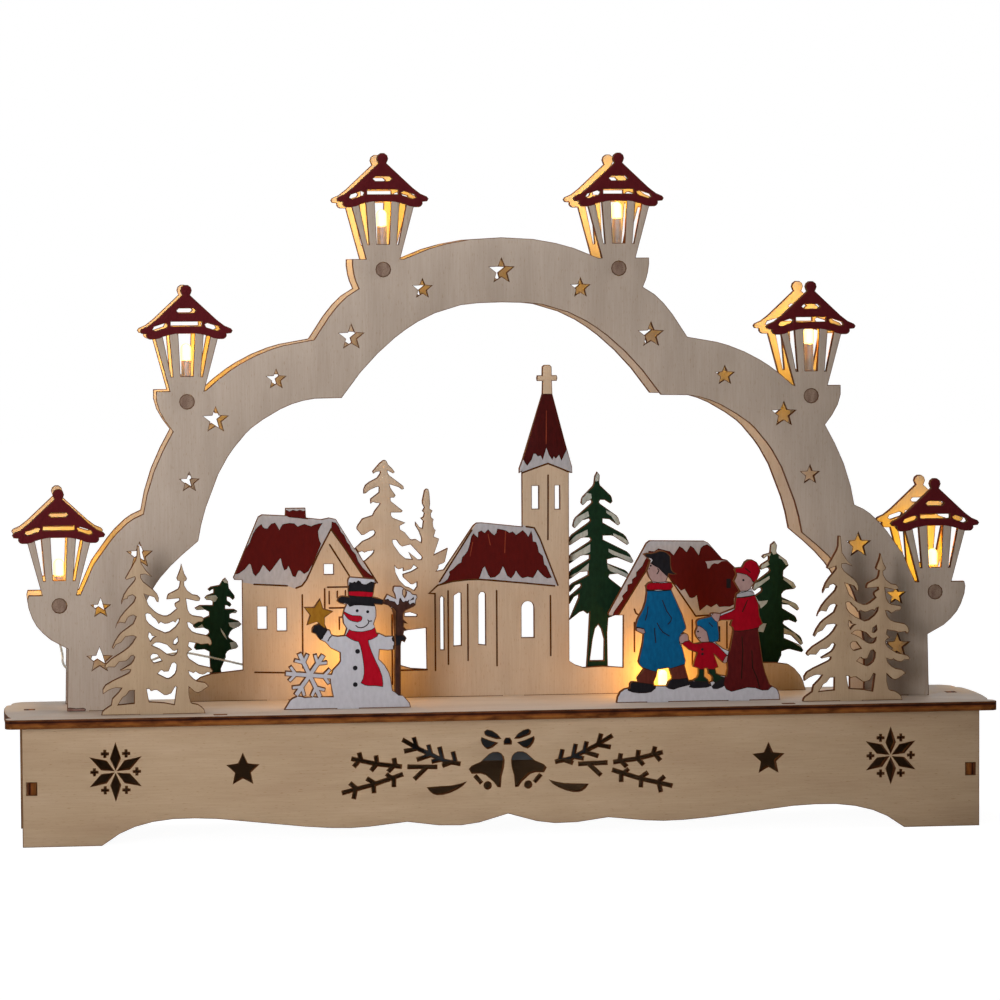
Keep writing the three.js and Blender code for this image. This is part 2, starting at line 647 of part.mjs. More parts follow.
const pineGaps = [
  [
    [-43.5, 70.1], [-41.8, 70.1], [-39.8, 67.3], [-38.1, 67.3], [-36, 68], [-34.8, 67.3], [-30.6, 62.6],
    [-30.8, 61.2], [-32.2, 61.2], [-34.3, 63], [-36.4, 64.7], [-34.9, 61.4], [-37.7, 61.7], [-41, 64.7],
    [-43.3, 68.4],
  ],
  [
    [-42.7, 58.8], [-41.8, 57.5], [-40.6, 57], [-38.9, 57.6], [-38.9, 56.1], [-35.4, 57], [-34.2, 58.8],
    [-32.5, 57.5], [-35.2, 56], [-39.1, 54.8], [-38.9, 53.4], [-36, 50.6], [-34.6, 50.3], [-32.8, 51.3],
    [-32.8, 49.3], [-34, 47.6], [-36.4, 49], [-37.8, 49.3], [-40.6, 52.2], [-42.3, 55.6],
  ],
  [
    [-58.6, 64.7], [-57.2, 65.3], [-56, 64.6], [-54.8, 65.2], [-51.8, 65.6], [-52.3, 64.2], [-55.6, 61.2],
    [-56.5, 60.9], [-57.3, 62.6],
  ],
  [[-38.3, 37.6], [-36, 37.9], [-32.8, 36.8], [-33, 36], [-38.3, 36.1]],
];
const windows = [
  rectangle(-103.5, -99.4, 31.5, 41.5), rectangle(-94.9, -90.7, 30.6, 40.6),
  rectangle(-74, -69.8, 55.3, 59.8),
  [[-22.5, 21], [-20.9, 21], [-20.9, 44], [-22, 44.8], [-22.5, 44]],
  [[-16.6, 22.6], [-13.2, 22.8], [-13.2, 46], [-14.4, 46.3], [-16.4, 45]],
  [[-5.5, 23.2], [-2.3, 22.8], [-2.3, 45.4], [-3, 46.3], [-4.4, 46.4], [-5.4, 44.9]],
  rectangle(18.7, 21.8, 83, 93.2), rectangle(29, 31.2, 82.8, 93.3),
];
const archedWindow = { x: 16.6, half: 2.8, foot: 25.8, spring: 39.2 };
const villageTabs = [-95, 10, 100];

function addVillage() {
  const archTop = arc(archedWindow.x, archedWindow.spring, archedWindow.half, 0, 180, 8);
  const arched = [
    [archedWindow.x - archedWindow.half, archedWindow.foot],
    [archedWindow.x + archedWindow.half, archedWindow.foot],
    ...archTop,
  ];
  const tabs = villageTabs.map((x) => standTab(x, standTabWidth, villageY, plyThickness, 0)).reverse();
  const outline = [
    ...smooth(hillLeft), ...houseLeft.slice(1), ...flow(pineLarge).slice(1), ...flow(pineSmall).slice(1),
    ...church.slice(1), ...smooth(hillMiddle).slice(1), ...houseRight.slice(1), ...smooth(hillRight).slice(1),
    ...tabs.flatMap((tab) => [...tab].reverse()),
  ];
  const holes = [gateGap, ...pineGaps.map(closedFlow), ...windows, arched];
  stand('village_panel', pierced(outline, holes, plyThickness), birch, plyThickness, 0, villageY, boardTop);
}

// Pines with drooping branches. Each tier is the tip of a branch and the root of the slot below it.
const branchBow = 0.11;
const undersideBow = 0.13;
const tipRound = 0.9;
const slotHeight = 1.7;

// A point between two others, pushed aside by a share of their distance
function bowed([ax, az], [bx, bz], share, bow) {
  return [ax + (bx - ax) * share - (bz - az) * bow, az + (bz - az) * share + (bx - ax) * bow];
}

function pineSide(spire, tiers) {
  const points = [...spire];
  let from = spire[spire.length - 1];
  for (const [tip, slotRoot] of tiers) {
    const side = Math.sign(tip[0]);
    const tipFoot = [tip[0] - side * tipRound, tip[1] - tipRound];
    const slotTop = [slotRoot[0], slotRoot[1] + slotHeight / 2];
    points.push(bowed(from, tip, 0.7, side * branchBow), tip, tipFoot);
    points.push(bowed(tipFoot, slotTop, 0.6, -side * undersideBow), slotTop);
    from = [slotRoot[0], slotRoot[1] - slotHeight / 2];
    points.push(from);
  }
  return points;
}

const greenTreeCenter = {
  x: 48,
  right: [
    [[7.4, 85.6], [1.8, 85.6]], [[10.8, 75.8], [2.9, 77.2]], [[14.8, 67], [3, 69.6]],
    [[16.8, 58.8], [4.9, 59]], [[15.3, 52], [5.9, 52.2]], [[13.6, 43], [9.4, 41.6]],
  ],
  left: [
    [[-6.8, 85], [-2.3, 85.6]], [[-10.6, 74.8], [-3.1, 77.4]], [[-12.8, 67.2], [-2.9, 68.8]],
    [[-13, 59], [-3.1, 61]], [[-13, 52], [-3.7, 53.8]], [[-12.8, 46.4], [-7.2, 48.4]],
    [[-13, 41], [-8, 43.6]],
  ],
  spire: { right: [[0.6, 99], [1.7, 97.4], [1.8, 93]], left: [[0.6, 99], [-0.5, 97], [-1.4, 92.6]] },
  foot: [
    [11.5, 36], [5.3, 33.6], [4.8, 26.7], [5, 12], [7, 0], [-7, 0], [-4.6, 12], [-3.8, 23.3], [-3.1, 36.4],
    [-4.2, 35.6], [-5.9, 37], [-7.6, 36.5], [-12.2, 33],
  ],
  gap: [[0.8, 30.8], [2.2, 28.6], [3.4, 24], [3.2, 14.7], [-3.1, 14.7], [-1.8, 24.2], [-0.7, 29]],
};
const greenTreeLeft = {
  x: -119,
  right: [
    [[5.7, 45.2], [2.3, 45]], [[4.3, 42.2], [1.5, 41.2]], [[6.9, 39.4], [3.4, 37.2]],
    [[8.6, 33.6], [3.1, 28.4]], [[7.1, 23.8], [1.6, 20]],
  ],
  left: [
    [[-6.2, 49.2], [-3.6, 48.4]], [[-7.6, 45.4], [-4, 43]], [[-12, 41], [-5.6, 38.4]],
    [[-12.8, 33], [-6, 30.4]], [[-12.4, 23.4], [-5.6, 20.8]],
  ],
  spire: { right: [[1.7, 54.2], [2.8, 52.6], [3.2, 49.6]], left: [[1.7, 54.2], [0.5, 53.3], [-0.9, 51]] },
  foot: [[-0.7, 14], [1.5, 0], [-8, 0], [-5.3, 13]],
};
const greenTreeRight = {
  x: 128,
  right: [
    [[7.2, 56], [4.6, 52]], [[10.6, 46.2], [4, 42.6]], [[12, 36.4], [4.2, 37.6]], [[11.1, 31], [5, 30.2]],
    [[13.7, 20.8], [5, 24.2]], [[13.9, 17.6], [3.8, 16.4]],
  ],
  left: [
    [[-5, 60], [-1.9, 59.4]], [[-6.1, 55], [-1.8, 54]], [[-9.3, 45.6], [-5.4, 45.2]],
    [[-11, 39], [-6.4, 37.6]], [[-12, 30], [-7, 28.4]], [[-12.6, 21], [-6.6, 19]],
  ],
  spire: { right: [[0.9, 66.8], [1.9, 65], [1.8, 61.6]], left: [[0.9, 66.8], [-0.9, 65.3], [-1.3, 61.6]] },
  foot: [[2, 12], [4, 0], [-8, 0], [-6, 12]],
};

function greenTreeOutline({ spire, right, left, foot }) {
  const rightSide = flow(pineSide(spire.right, right));
  const leftSide = flow(pineSide(spire.left, left)).reverse();
  return [...rightSide, ...foot, ...leftSide.slice(0, -1)].reverse();
}

function addGreenTrees() {
  const trees = { left: greenTreeLeft, center: greenTreeCenter, right: greenTreeRight };
  for (const [side, tree] of Object.entries(trees)) {
    const holes = tree.gap ? [tree.gap] : [];
    const geometry = pierced(greenTreeOutline(tree), holes, plyThickness);
    stand(`green_tree_${side}`, geometry, pineGreen, plyThickness, tree.x, greenTreeY, boardTop);
  }
}

// Front trees: two pines that share a hump, with gaps between their branches
const frontPineTall = [
  [-5.5, 72.3], [-4.5, 72.3], [-4.2, 68.5], [-3.8, 65], [-1.6, 61.6], [0.9, 58.9], [-0.9, 59.6], [-2.2, 60.2],
  [-4, 60], [-4, 58.7], [-2.4, 56.3], [0.8, 53.9], [2.6, 52.1], [3.6, 49.9], [3.4, 48], [2.6, 48.3],
  [2, 49.8], [0.8, 50.6], [-2.6, 51.6], [-1.2, 47.4], [0.5, 45.5], [2.4, 43.6], [4.6, 42.5], [6.6, 42.1],
  [8.6, 43], [11.2, 45.1], [10.3, 46.4], [10.6, 47.6], [12.4, 48.6], [12.2, 49.6], [9.2, 49.3],
  [6.9, 49.2], [7.1, 50.5], [8, 51.8], [10.5, 52.8], [12.1, 54], [12.7, 56.9], [11.6, 57.2], [11.2, 58.1],
  [11.9, 60], [12.8, 62.2], [13.3, 64.4],
];
const frontPineSmall = [
  [13.3, 64.4], [14, 61.9], [14.7, 59.7], [15.7, 58.1], [15.3, 57.1], [14.4, 56.7], [14.5, 55], [15.8, 52.8],
  [18, 51.1], [20.2, 50.7], [21.3, 49.6], [20.9, 48.4], [19.6, 48.3], [17, 48.9], [15.2, 49.4], [15.7, 45.4],
  [16.5, 43.3], [18, 42.1], [22, 41.4], [22.6, 40.2], [22, 39.3], [20.4, 39.3], [18.1, 38], [16.5, 39.2],
  [15.6, 39.2], [16.1, 37.1], [17.7, 35.2], [20.3, 34.2], [22.8, 33.8], [24.7, 33], [25.8, 31.4], [26, 29.9],
  [25.2, 29.1], [24.3, 29.9], [21.2, 29.6], [19.7, 30.2], [16.3, 30.8], [15.9, 29], [17.6, 27.5],
  [15.7, 26.4], [15.5, 25.4], [16.1, 23.8], [17.7, 22.4], [20.3, 20.8], [23.4, 20.2], [25.3, 19.6],
  [26.5, 18.3], [25.8, 17.4], [24, 17.7], [22.4, 16.7], [20.3, 17.1], [19, 18], [18, 17.4], [16, 18.3],
  [16.4, 16.7], [17.7, 15.2], [19.7, 13.9], [22.8, 13.3], [24.7, 11.7], [22.5, 10.2], [20.3, 8.9],
  [18.7, 9.1], [17.4, 10.2], [16, 11.6], [16.1, 8], [16.8, 5.2], [17.5, 4.4], [19.4, 4.1], [21.2, 3],
  [22.5, 1.7], [23, 0],
];
const frontPineLeft = [
  [-5.5, 72.3], [-5.7, 68], [-6.9, 64.8], [-8.4, 62.6], [-10, 60], [-10.7, 58.4], [-10, 57.9], [-8.6, 58.5],
  [-6.6, 59.1], [-6.4, 58.2], [-7.6, 56.2], [-9.7, 54], [-11.3, 51.6], [-12.4, 48.7], [-12.4, 47.3],
  [-11.9, 48.6], [-11.1, 49.6], [-9.8, 49.7], [-9.4, 50.8], [-7.6, 51.4], [-6.3, 50.3], [-6.7, 48.9],
  [-8.4, 46.9], [-11, 44.4], [-13, 41.9], [-14.4, 39.2], [-15, 37.2], [-14.2, 38.9], [-12.9, 39.8],
  [-11.5, 39.2], [-10.7, 39.5], [-9.5, 41.9], [-7.4, 42.7], [-6.2, 42], [-7.1, 39.5], [-8.9, 37.8],
  [-12.3, 35.6], [-14.4, 33.2], [-16, 30.5], [-16.6, 28.9], [-16, 28.3], [-15.4, 29.2], [-14.6, 30.4],
  [-12.6, 31.1], [-11.2, 33.1], [-10.1, 33.7], [-7.6, 33.9], [-6.3, 33.3], [-7, 32.3], [-8.2, 30.3],
  [-10.7, 28], [-14.2, 25.9], [-17, 24.1], [-19.2, 22], [-19.8, 20.9], [-19.1, 20], [-18.1, 20.6],
  [-15.8, 20.4], [-14.8, 21.1], [-13.6, 22.8], [-11.4, 22.8], [-9.5, 23.9], [-8.7, 25.1], [-7.6, 25.5],
  [-7, 24.7], [-7.9, 22.6], [-9.5, 21.2], [-12, 20.1], [-13.2, 19.2], [-12.9, 18.7], [-10.1, 19.4],
  [-8.8, 19.3], [-9.4, 18], [-11.6, 17], [-15, 15.4], [-18, 13.9], [-20, 12.5], [-20.9, 10.5], [-20.7, 9],
  [-19.5, 9.8], [-17.9, 10.8], [-15.1, 11.7], [-12.7, 11.5], [-13.9, 9.8], [-15.4, 8.3], [-16.7, 7],
  [-17.1, 5], [-17.4, 4.1], [-19.4, 3], [-21, 1.4], [-21.4, 0],
];
const frontTreesGaps = [
  [
    [-1.4, 43.4], [-2.2, 43], [-2, 41.1], [-1.1, 39.3], [1.1, 37.4], [3.3, 36.1], [6.1, 34.9], [8, 35.4],
    [9.9, 36.8], [11.1, 38], [12.1, 39.6], [12.2, 40.8], [11.4, 40.5], [10.6, 39.2], [9.8, 39.8], [8.6, 39.6],
    [7.4, 38.9], [5.5, 38.8], [4.2, 39.6], [3.4, 38.7], [2.1, 40.8], [0.8, 41.8], [-0.1, 43],
  ],
  [[-0.8, 35.2], [-1.1, 33.4], [-0.2, 31.4], [1.1, 33], [2.1, 33.4], [0.4, 33.7], [0, 34.7]],
  [
    [0.4, 29.6], [1.4, 30.5], [3, 30.9], [6.4, 30], [7.4, 28.9], [8.9, 27.4], [10.2, 27.1], [11.3, 27.7],
    [11.1, 26.4], [9.9, 25.2], [8.3, 25.2], [6.4, 26], [5.2, 27.1], [3.3, 28.3], [1.8, 29.1],
  ],
  [[11.3, 32.9], [9.8, 31.6], [9.6, 30], [10.6, 29.8], [11.6, 31]],
  [[0.8, 26], [-0.1, 25.2], [-0.1, 23.9], [0.5, 22.7], [1.7, 22.1], [4.6, 22.9], [3, 25.2], [2.1, 26]],
  [
    [2.7, 17.4], [3.6, 18.6], [4.6, 18.9], [5.4, 18.2], [7.4, 18.3], [8.2, 19.8], [8.9, 21.8], [10, 22.1],
    [10.9, 21], [10.5, 18], [9.3, 16.4], [7.4, 15.3], [5.5, 15.8],
  ],
  [
    [-2, 10.9], [-0.9, 10.9], [-0.2, 9.9], [1.2, 10.4], [2.9, 10.2], [5.4, 8.2], [7.4, 8.4], [8.8, 9.2],
    [10.2, 11.8], [10.8, 11.5], [10.2, 7.5], [9.7, 4], [5.5, 4.9], [-1, 5.4],
  ],
  [[-7.3, 10.4], [-9.3, 10.3], [-10.8, 8.3], [-12.2, 7.5], [-14.3, 4.3], [-7.4, 4.9]],
];

function addFrontTrees() {
  const left = flow(frontPineLeft).reverse();
  const right = [...flow(frontPineTall).slice(1), ...flow(frontPineSmall).slice(1)];
  const holes = frontTreesGaps.map(closedFlow);
  for (const [name, x] of [['front_trees_left', -frontTreesX], ['front_trees_right', frontTreesX]]) {
    const tab = standTab(0, standTabWidth, frontTreesY, plyThickness, x);
    const outline = [...left, ...right, ...[...tab].reverse()];
    stand(name, pierced(outline, holes, plyThickness), birchFront, plyThickness, x, frontTreesY, boardTop);
  }
}

// Snowman with a star in one hand, a broom in the other and a snow crystal beside him
const snowmanBody = [
  [-27.7, 0], [-26, 3], [-24, 5], [-21, 5.9], [-18.8, 5.3], [-6.5, 5.4], [-7.7, 11.5], [-7.5, 14], [-6.5, 17],
  [-4, 19.5], [-3.1, 21.3], [-3.3, 24.3], [-5.5, 25.2], [-8, 26.8], [-9.8, 29], [-12, 30], [-13.9, 32.6],
  [-15.5, 33.2], [-15.1, 35.6], [-12.5, 37], [-9.7, 36.8], [-8.7, 34.5], [-7.5, 34.3], [-6.7, 32.2],
  [-4.5, 31.6], [-1.4, 31.8], [-0.4, 34.8], [-1.8, 37], [-2.1, 40], [-1.5, 43], [-0.5, 45], [-3, 45.6],
  [-4.5, 46.5], [-4, 48], [-2.3, 49], [0.5, 48.6], [0.2, 53], [0.3, 56], [1.1, 57.2], [5.5, 56.8],
  [11.5, 56.3], [12.3, 55.2], [11.8, 52], [11.2, 48.3], [13.5, 47.8], [16, 46.6], [16.2, 45.3],
  [15, 44.7], [12, 45], [12.6, 42.5], [12.5, 39], [11.5, 36.5], [12.3, 34.3], [12.7, 32.6], [14.1, 32.4],
  [16.5, 31.2], [20.4, 31], [20.4, 25.3], [17.5, 24.9], [13.9, 25.3], [13.6, 21.3], [15.5, 19.5],
  [17.5, 16.5], [18.7, 13], [19, 9.5], [19.9, 7], [23.5, 5.4], [25.5, 3.8], [26.9, 2], [27.3, 0],
];
const broom = [
  [20.4, 5], [20.2, 16], [20.6, 25], [20.5, 30], [19.9, 40.6], [19, 43.2], [17.4, 44.6], [15.3, 45.1],
  [16.2, 47.6], [17.3, 49.5], [18.8, 48.8], [20.9, 47.6], [20.6, 49.2], [19.8, 50.4], [19.9, 52.2],
  [20.6, 52.9], [22.8, 52.9], [24, 52.5], [25.6, 51.2], [27.5, 50.4], [28.4, 49.3], [30.2, 48.9],
  [30.5, 47.7], [29.9, 46.6], [29.9, 45], [29.3, 44], [27.5, 43.2], [25.3, 42.1], [24.4, 40.6],
  [24.3, 38.4], [26.3, 36.4], [24.6, 36.6], [24.4, 35.2], [26, 33.5], [24.6, 33.2], [24.3, 31.8],
  [25.4, 30.7], [25.6, 29.7], [24.7, 28.2], [23.1, 27], [23, 5],
];
const broomGap = [[24.2, 51], [25, 51.4], [25.7, 50.2], [25.4, 48.7], [24.9, 48], [24.2, 49.2]];
const handStar = { x: -12.8, z: 41.2, radius: 6.8, inner: 0.5, turn: -9 };
const crystal = {
  x: -16.5, z: 14.8, reach: 10.4, first: -5, width: 2.3,
  barbAt: 6, barbReach: 4, barbTurn: 50, barbWidth: 1.8,
};

function crystalStrokes() {
  const { x, z, reach, first, width, barbAt, barbReach, barbTurn, barbWidth } = crystal;
  const along = (from, angle, length) => [
    from[0] + length * Math.cos(angle), from[1] + length * Math.sin(angle),
  ];
  const turn = THREE.MathUtils.degToRad(barbTurn);
  const strokes = [];
  for (let i = 0; i < 6; i += 1) {
    const angle = THREE.MathUtils.degToRad(first + 60 * i);
    strokes.push(stroke(along([x, z], angle, -width / 2), along([x, z], angle, reach), width));
    for (const side of [-1, 1]) {
      const foot = along([x, z], angle, barbAt);
      strokes.push(stroke(foot, along(foot, angle + side * turn, barbReach), barbWidth));
    }
  }
  return strokes;
}

function addSnowman() {
  const tab = standTab(0, standTabWidth, snowmanY, plyThickness, snowmanX).reverse();
  let piece = toSolid(plate([...flow(snowmanBody), ...tab], plyThickness));
  const { x, z, radius, inner, turn } = handStar;
  const added = [closedFlow(broom), star(x, z, radius, inner, turn), ...crystalStrokes()];
  for (const outline of added) {
    piece = piece.add(toSolid(plate(outline, plyThickness)));
  }
  piece = piece.subtract(toSolid(cutter(broomGap, plyThickness)));
  stand('snowman_panel', toGeometry(piece), snowWhite, plyThickness, snowmanX, snowmanY, boardTop);
}

// Family: a man, a child and a woman who walk hand in hand over the snow
const man = [
  [-36.3, 0], [-35.5, 3.5], [-33.5, 5.8], [-30.5, 6.6], [-30.4, 8.3], [-29.3, 9.3], [-26.7, 9], [-27, 11],
  [-24.3, 14.6], [-26.5, 17.2], [-26.2, 20], [-24.7, 26], [-24.3, 29.7], [-26.2, 30.6], [-27.7, 31.8],
  [-27.5, 35], [-26.5, 37.5], [-24.5, 41], [-23.2, 45], [-22.8, 49], [-23.3, 51], [-21.7, 52.6],
  [-20.2, 52.9], [-21.5, 54.3], [-22.3, 56.2], [-22.7, 58.2], [-21.7, 60.3], [-21.2, 62.1], [-22.7, 63.7],
  [-24.3, 64.9], [-22.5, 65.4], [-19.5, 65.3], [-17.2, 66.4], [-14.5, 66], [-12.1, 64], [-12, 60],
  [-11.3, 57.4], [-9.2, 56], [-10.9, 55.7], [-12.9, 56], [-14.1, 52.8], [-11.5, 52.4], [-11, 50.5],
  [-11.7, 49], [-9.5, 44], [-7, 38.5], [-5.3, 33], [-5.7, 31.6], [-7.5, 29.8],
];
const child = [
  [-7.5, 29.8], [-5.9, 30.3], [-4.3, 29.2], [-4.1, 27.2], [-2, 25.5], [1.1, 25.8], [-0.8, 28], [-1.5, 30.2],
  [-0.6, 32.4], [-1, 34.5], [-0.1, 36], [2.5, 36.8], [5.2, 37.2],
];
const woman = [
  [5.2, 37.2], [5.5, 38.6], [7.1, 38.9], [10, 38.5], [12.5, 39.5], [16.3, 40.8], [16.8, 46.2], [18.5, 48],
  [17.3, 50.2], [15.8, 52.5], [16.9, 54.5], [16.9, 56.3], [16.1, 57.4], [16.7, 58.4], [19.5, 58.6],
  [20.7, 60.8], [22.8, 62], [25.5, 61.2], [27.3, 59], [27.7, 56.5], [26.5, 53.5], [25, 51.6],
  [23.4, 49.4], [24.7, 47.6], [26.9, 42.5], [27.1, 39.5], [27.5, 36.5], [28.8, 33.6], [26.8, 31.8],
  [27, 28], [28, 21], [29.3, 14], [31.6, 7.4], [33.1, 6.3], [35.1, 4.8], [36.1, 2.5], [36.3, 0],
];
const familyGaps = [
  [
    [-7.5, 25.6], [-5.9, 24], [-3.5, 22.3], [-0.5, 21.3], [-2, 17], [-2.4, 15.2], [0.1, 14.4], [-0.2, 11],
    [-2.3, 9.4], [-4.1, 9.2], [-4.7, 11.5], [-6, 16], [-5.5, 18], [-6.5, 22],
  ],
  [
    [-17.9, 14.3], [-13, 14.9], [-12.3, 12], [-11.6, 10.3], [-13.3, 9], [-14, 7.2], [-19.5, 7.3],
    [-19.7, 8.8], [-18.5, 11.5],
  ],
  [
    [9.5, 26.6], [9.4, 30], [8.7, 34.8], [10.5, 35.4], [15, 35.3], [14.1, 33], [15.5, 31.5], [15, 28],
    [13.8, 22], [11, 23.2], [7.9, 25.7],
  ],
  [
    [7, 20.6], [10, 17.4], [11.7, 16.4], [12.8, 16.8], [13, 14], [12.4, 11], [10.7, 11.2], [8, 12.3],
    [7.6, 14.4], [9, 14.8], [8.2, 17],
  ],
  [[2.8, 14.4], [4, 14.4], [4.5, 12], [6.1, 10.8], [6.1, 8.8], [4.9, 8], [4.3, 9.6], [2.7, 11]],
];

function addFamily() {
  const tabs = [-18, 18].map((x) => standTab(x, standTabWidth, familyY, plyThickness, familyX)).reverse();
  const outline = [
    ...flow(man), ...flow(child).slice(1), ...flow(woman).slice(1),
    ...tabs.flatMap((tab) => [...tab].reverse()),
  ];
  const geometry = pierced(outline, familyGaps.map(closedFlow), plyThickness);
  stand('family_panel', geometry, coatBlue, plyThickness, familyX, familyY, boardTop);
}

// Lamps: a clear tube glued behind each lantern, with the bright lens on its top
const lampTops = [20, 25, 26, 29, 30, 19];
const villageLamps = [{ x: -64, y: 0, top: 22 }, { x: 74, y: 5, top: 12.5 }];
const lensSegments = 8;

function addLamp(kind, number, x, y, foot, top) {
  const lensFoot = top - lensLength;
  const shoulder = lensLength - lensRadius;
  const dome = arc(0, shoulder, lensRadius, 0, 90, 3);
  const lens = turned([[0, 0], [lensRadius, 0], ...dome.slice(0, -1), [0, lensLength]], lensSegments);
  place(`${kind}_lamp_${number}`, lens, lensGlow, x, y, lensFoot);
  const length = lensFoot - glueGap - foot;
  const tube = turned([[0, 0], [socketRadius, 0], [socketRadius, length], [0, length]], lensSegments);
  place(`${kind}_lamp_tube_${number}`, tube, clearTube, x, y, foot);
}

function addLamps() {
  const y = archBackFace + touch + lensRadius;
  lanternPlaces.forEach(([x, z], i) => addLamp('lantern', i + 1, x, y, z + socketFoot, z + lampTops[i]));
  villageLamps.forEach(({ x, y: lampY, top }, i) => {
    addLamp('village', i + 1, x, lampY, boardTop - boardThickness + villageSocketFoot, boardTop + top);
  });
}

// A wire's tube has its steps where its points are close together
class WireRoute extends THREE.CatmullRomCurve3 {
  getPointAt(t) {
    return this.getPoint(t);
  }

  getTangentAt(t) {
    return this.getTangent(t);
  }

  getSpacedPoints(count) {
    return this.getPoints(count);
  }
}

function wire(name, points, stepsPerPoint) {
  const route = new WireRoute(points.map((point) => new THREE.Vector3(...point)), false, 'centripetal');
  const ring = arc(0, 0, wireRadius, 0, 360 - 360 / wireSides, wireSides - 1);
  const section = new THREE.Shape(ring.map(([x, z]) => new THREE.Vector2(x, z)));
  const steps = stepsPerPoint * (points.length - 1);
  const geometry = new THREE.ExtrudeGeometry(section, { steps, bevelEnabled: false, extrudePath: route });
  place(name, geometry, wireClear);
}

// The light string: from the battery box along the underside of the board, up through it beside
// the left foot, and round the back of the front arch panel from lantern to lantern. The heights
// of its points are given below the underside of the board, or above its top.
const underBoard = baseHeight - touch - wireRadius;
const wireHole = { x: -165, y: 0.6 };
const boxParts = boxWall * 3 + 2 * plateThickness + springLength + cellLength + cellNubLength;
const boxX0 = -((boxParts + touch + switchBayLength) / 2);
const below = (x, y, drop) => [x, y, baseHeight - drop];
const above = (x, y, rise) => [x, y, boardTop + rise];
const stringStart = [
  [boxX0 - touch, 15, underBoard], [-60, 16, underBoard], [-100, 14, underBoard], [-140, 8, underBoard],
  below(-154, 3.6, 1.6), below(-161.4, 1.2, 2.4), below(-164.4, wireHole.y, 0.4),
  above(wireHole.x, wireHole.y, -boardThickness / 2), above(wireHole.x, wireHole.y, 1),
  above(-165.4, 0, 6), above(-168, -1.6, 11.5), above(-177, wireY, 15), above(-185, wireY, 16.5),
  above(-189.2, wireY, 20), above(-189.8, wireY, 25), above(-192, wireY, 33), above(-196.6, wireY, 40.5),
  above(-196.2, wireY, 47.5), above(-190.8, wireY, 50.2), above(-184.6, wireY, 48.8),
];
const archRun = [
  [181.2, 51.4], [176.8, 57], [171.5, 64.5], [165.5, 71.5], [158, 77.8], [152, 85], [149.2, 95], [145.8, 107],
  [142.6, 119], [142.6, 129], [141.4, 135], [136.9, 137.4], [131.6, 136.4], [123.5, 138.2], [111, 145.4],
  [97, 150.6], [85, 153.4], [77, 159], [71.5, 167], [64, 174.4], [58, 182], [57, 190.4], [51.6, 193.9],
  [45.6, 192], [37, 192.4], [24, 195.4], [10, 197.4],
];
const stringEnd = [[188, 48.8], [192.6, 50.2], [198, 47.5], [198.8, 41.5]];
const tail = [
  above(-167.4, 1.4, 9), above(-158, 8, 16.5), above(-146, 17, 21), above(-136, 24.6, 21.6),
  above(-126.5, 25.6, 19.8), above(-120.5, 25.8, 18.4), above(-116, 27.2, 17.2), above(-112.5, 28.4, 16.2),
  above(-108, 28.6, 15.2), above(-100, 28.1, 13.6),
];

function addWires() {
  const onArch = (points, side) => points.map(([x, z]) => [archX + side * x, wireY, boardTop + z]);
  const leftRun = onArch(archRun, -1);
  const rightRun = onArch(archRun, 1).reverse();
  wire('light_string_wire', [...stringStart, ...leftRun, ...rightRun, ...onArch(stringEnd, 1)], 1);
  wire('string_tail_wire', tail, 2);
  const [first, second] = villageLamps;
  const reach = socketRadius + touch;
  wire('village_wire_1', [
    [boxX0 - touch, -8, underBoard], [-46, -7, underBoard], [-55, -2, underBoard],
    [first.x + reach, first.y, underBoard],
  ], 2);
  wire('village_wire_2', [
    [-boxX0 + touch, -8, underBoard], [46, -7, underBoard], [60, 2, underBoard],
    [second.x - reach, second.y, underBoard],
  ], 2);
}

// The board, with a slot for every tab, holes for the lamps and the wire, and pilot holes for screws
const boardEnd = [
  [215, -34], [215, -31.4], [214, -29.6], [212.4, -28.6], [213.4, -25], [214.4, -16], [215, -4], [215, 8],
  [214.3, 18], [213.4, 23.4], [211.4, 25], [211.6, 28], [210.6, 33], [207.4, 36.4],
];
const screwX = -boxX0 + earLength / 2 + 1;

function boardOutline() {
  const half = boardDepth / 2;
  const r = boardCornerRadius;
  const corner = arc(boardWidth / 2 - r, -half + r, r, -90, 0, boardCornerSteps);
  const end = [...corner, ...flow(boardEnd).slice(1), [205.4, half]];
  return [...end, ...mirror(end)];
}

function addBoard() {
  const half = (size) => size / 2 + woodFit;
  const slotHole = ({ x, y, width, depth }) =>
    rectangle(x - half(width), x + half(width), y - half(depth), y + half(depth));
  const baseTabs = [];
  for (const side of [-1, 1]) {
    for (const y of [frontY, backY]) {
      const middle = y + baseThickness / 2;
      baseTabs.push({ x: side * frontTopTabX, y: middle, width: topTabWidth, depth: baseThickness });
    }
    const x = side * (endX + baseThickness / 2);
    baseTabs.push({ x, y: endTopTabY, width: baseThickness, depth: topTabWidth });
  }
  const roundHole = (x, y, radius) => arc(x, y, radius, 0, 360 - 360 / holeSides, holeSides - 1);
  const lampHoles = villageLamps.map(({ x, y }) => roundHole(x, y, lampHoleRadius));
  const holes = [
    ...[...slots, ...baseTabs].map(slotHole), ...lampHoles, roundHole(wireHole.x, wireHole.y, wireHoleRadius),
  ];
  let board = toSolid(pierced(boardOutline(), holes, boardThickness));
  const radius = screwRadius + slideFit;
  for (const side of [-1, 1]) {
    board = board.subtract(round(side * screwX, boxY, -cutMargin, screwBite + touch, radius, screwSides));
  }
  place('base_top_board', toGeometry(board), birchFront, 0, 0, baseHeight);
}

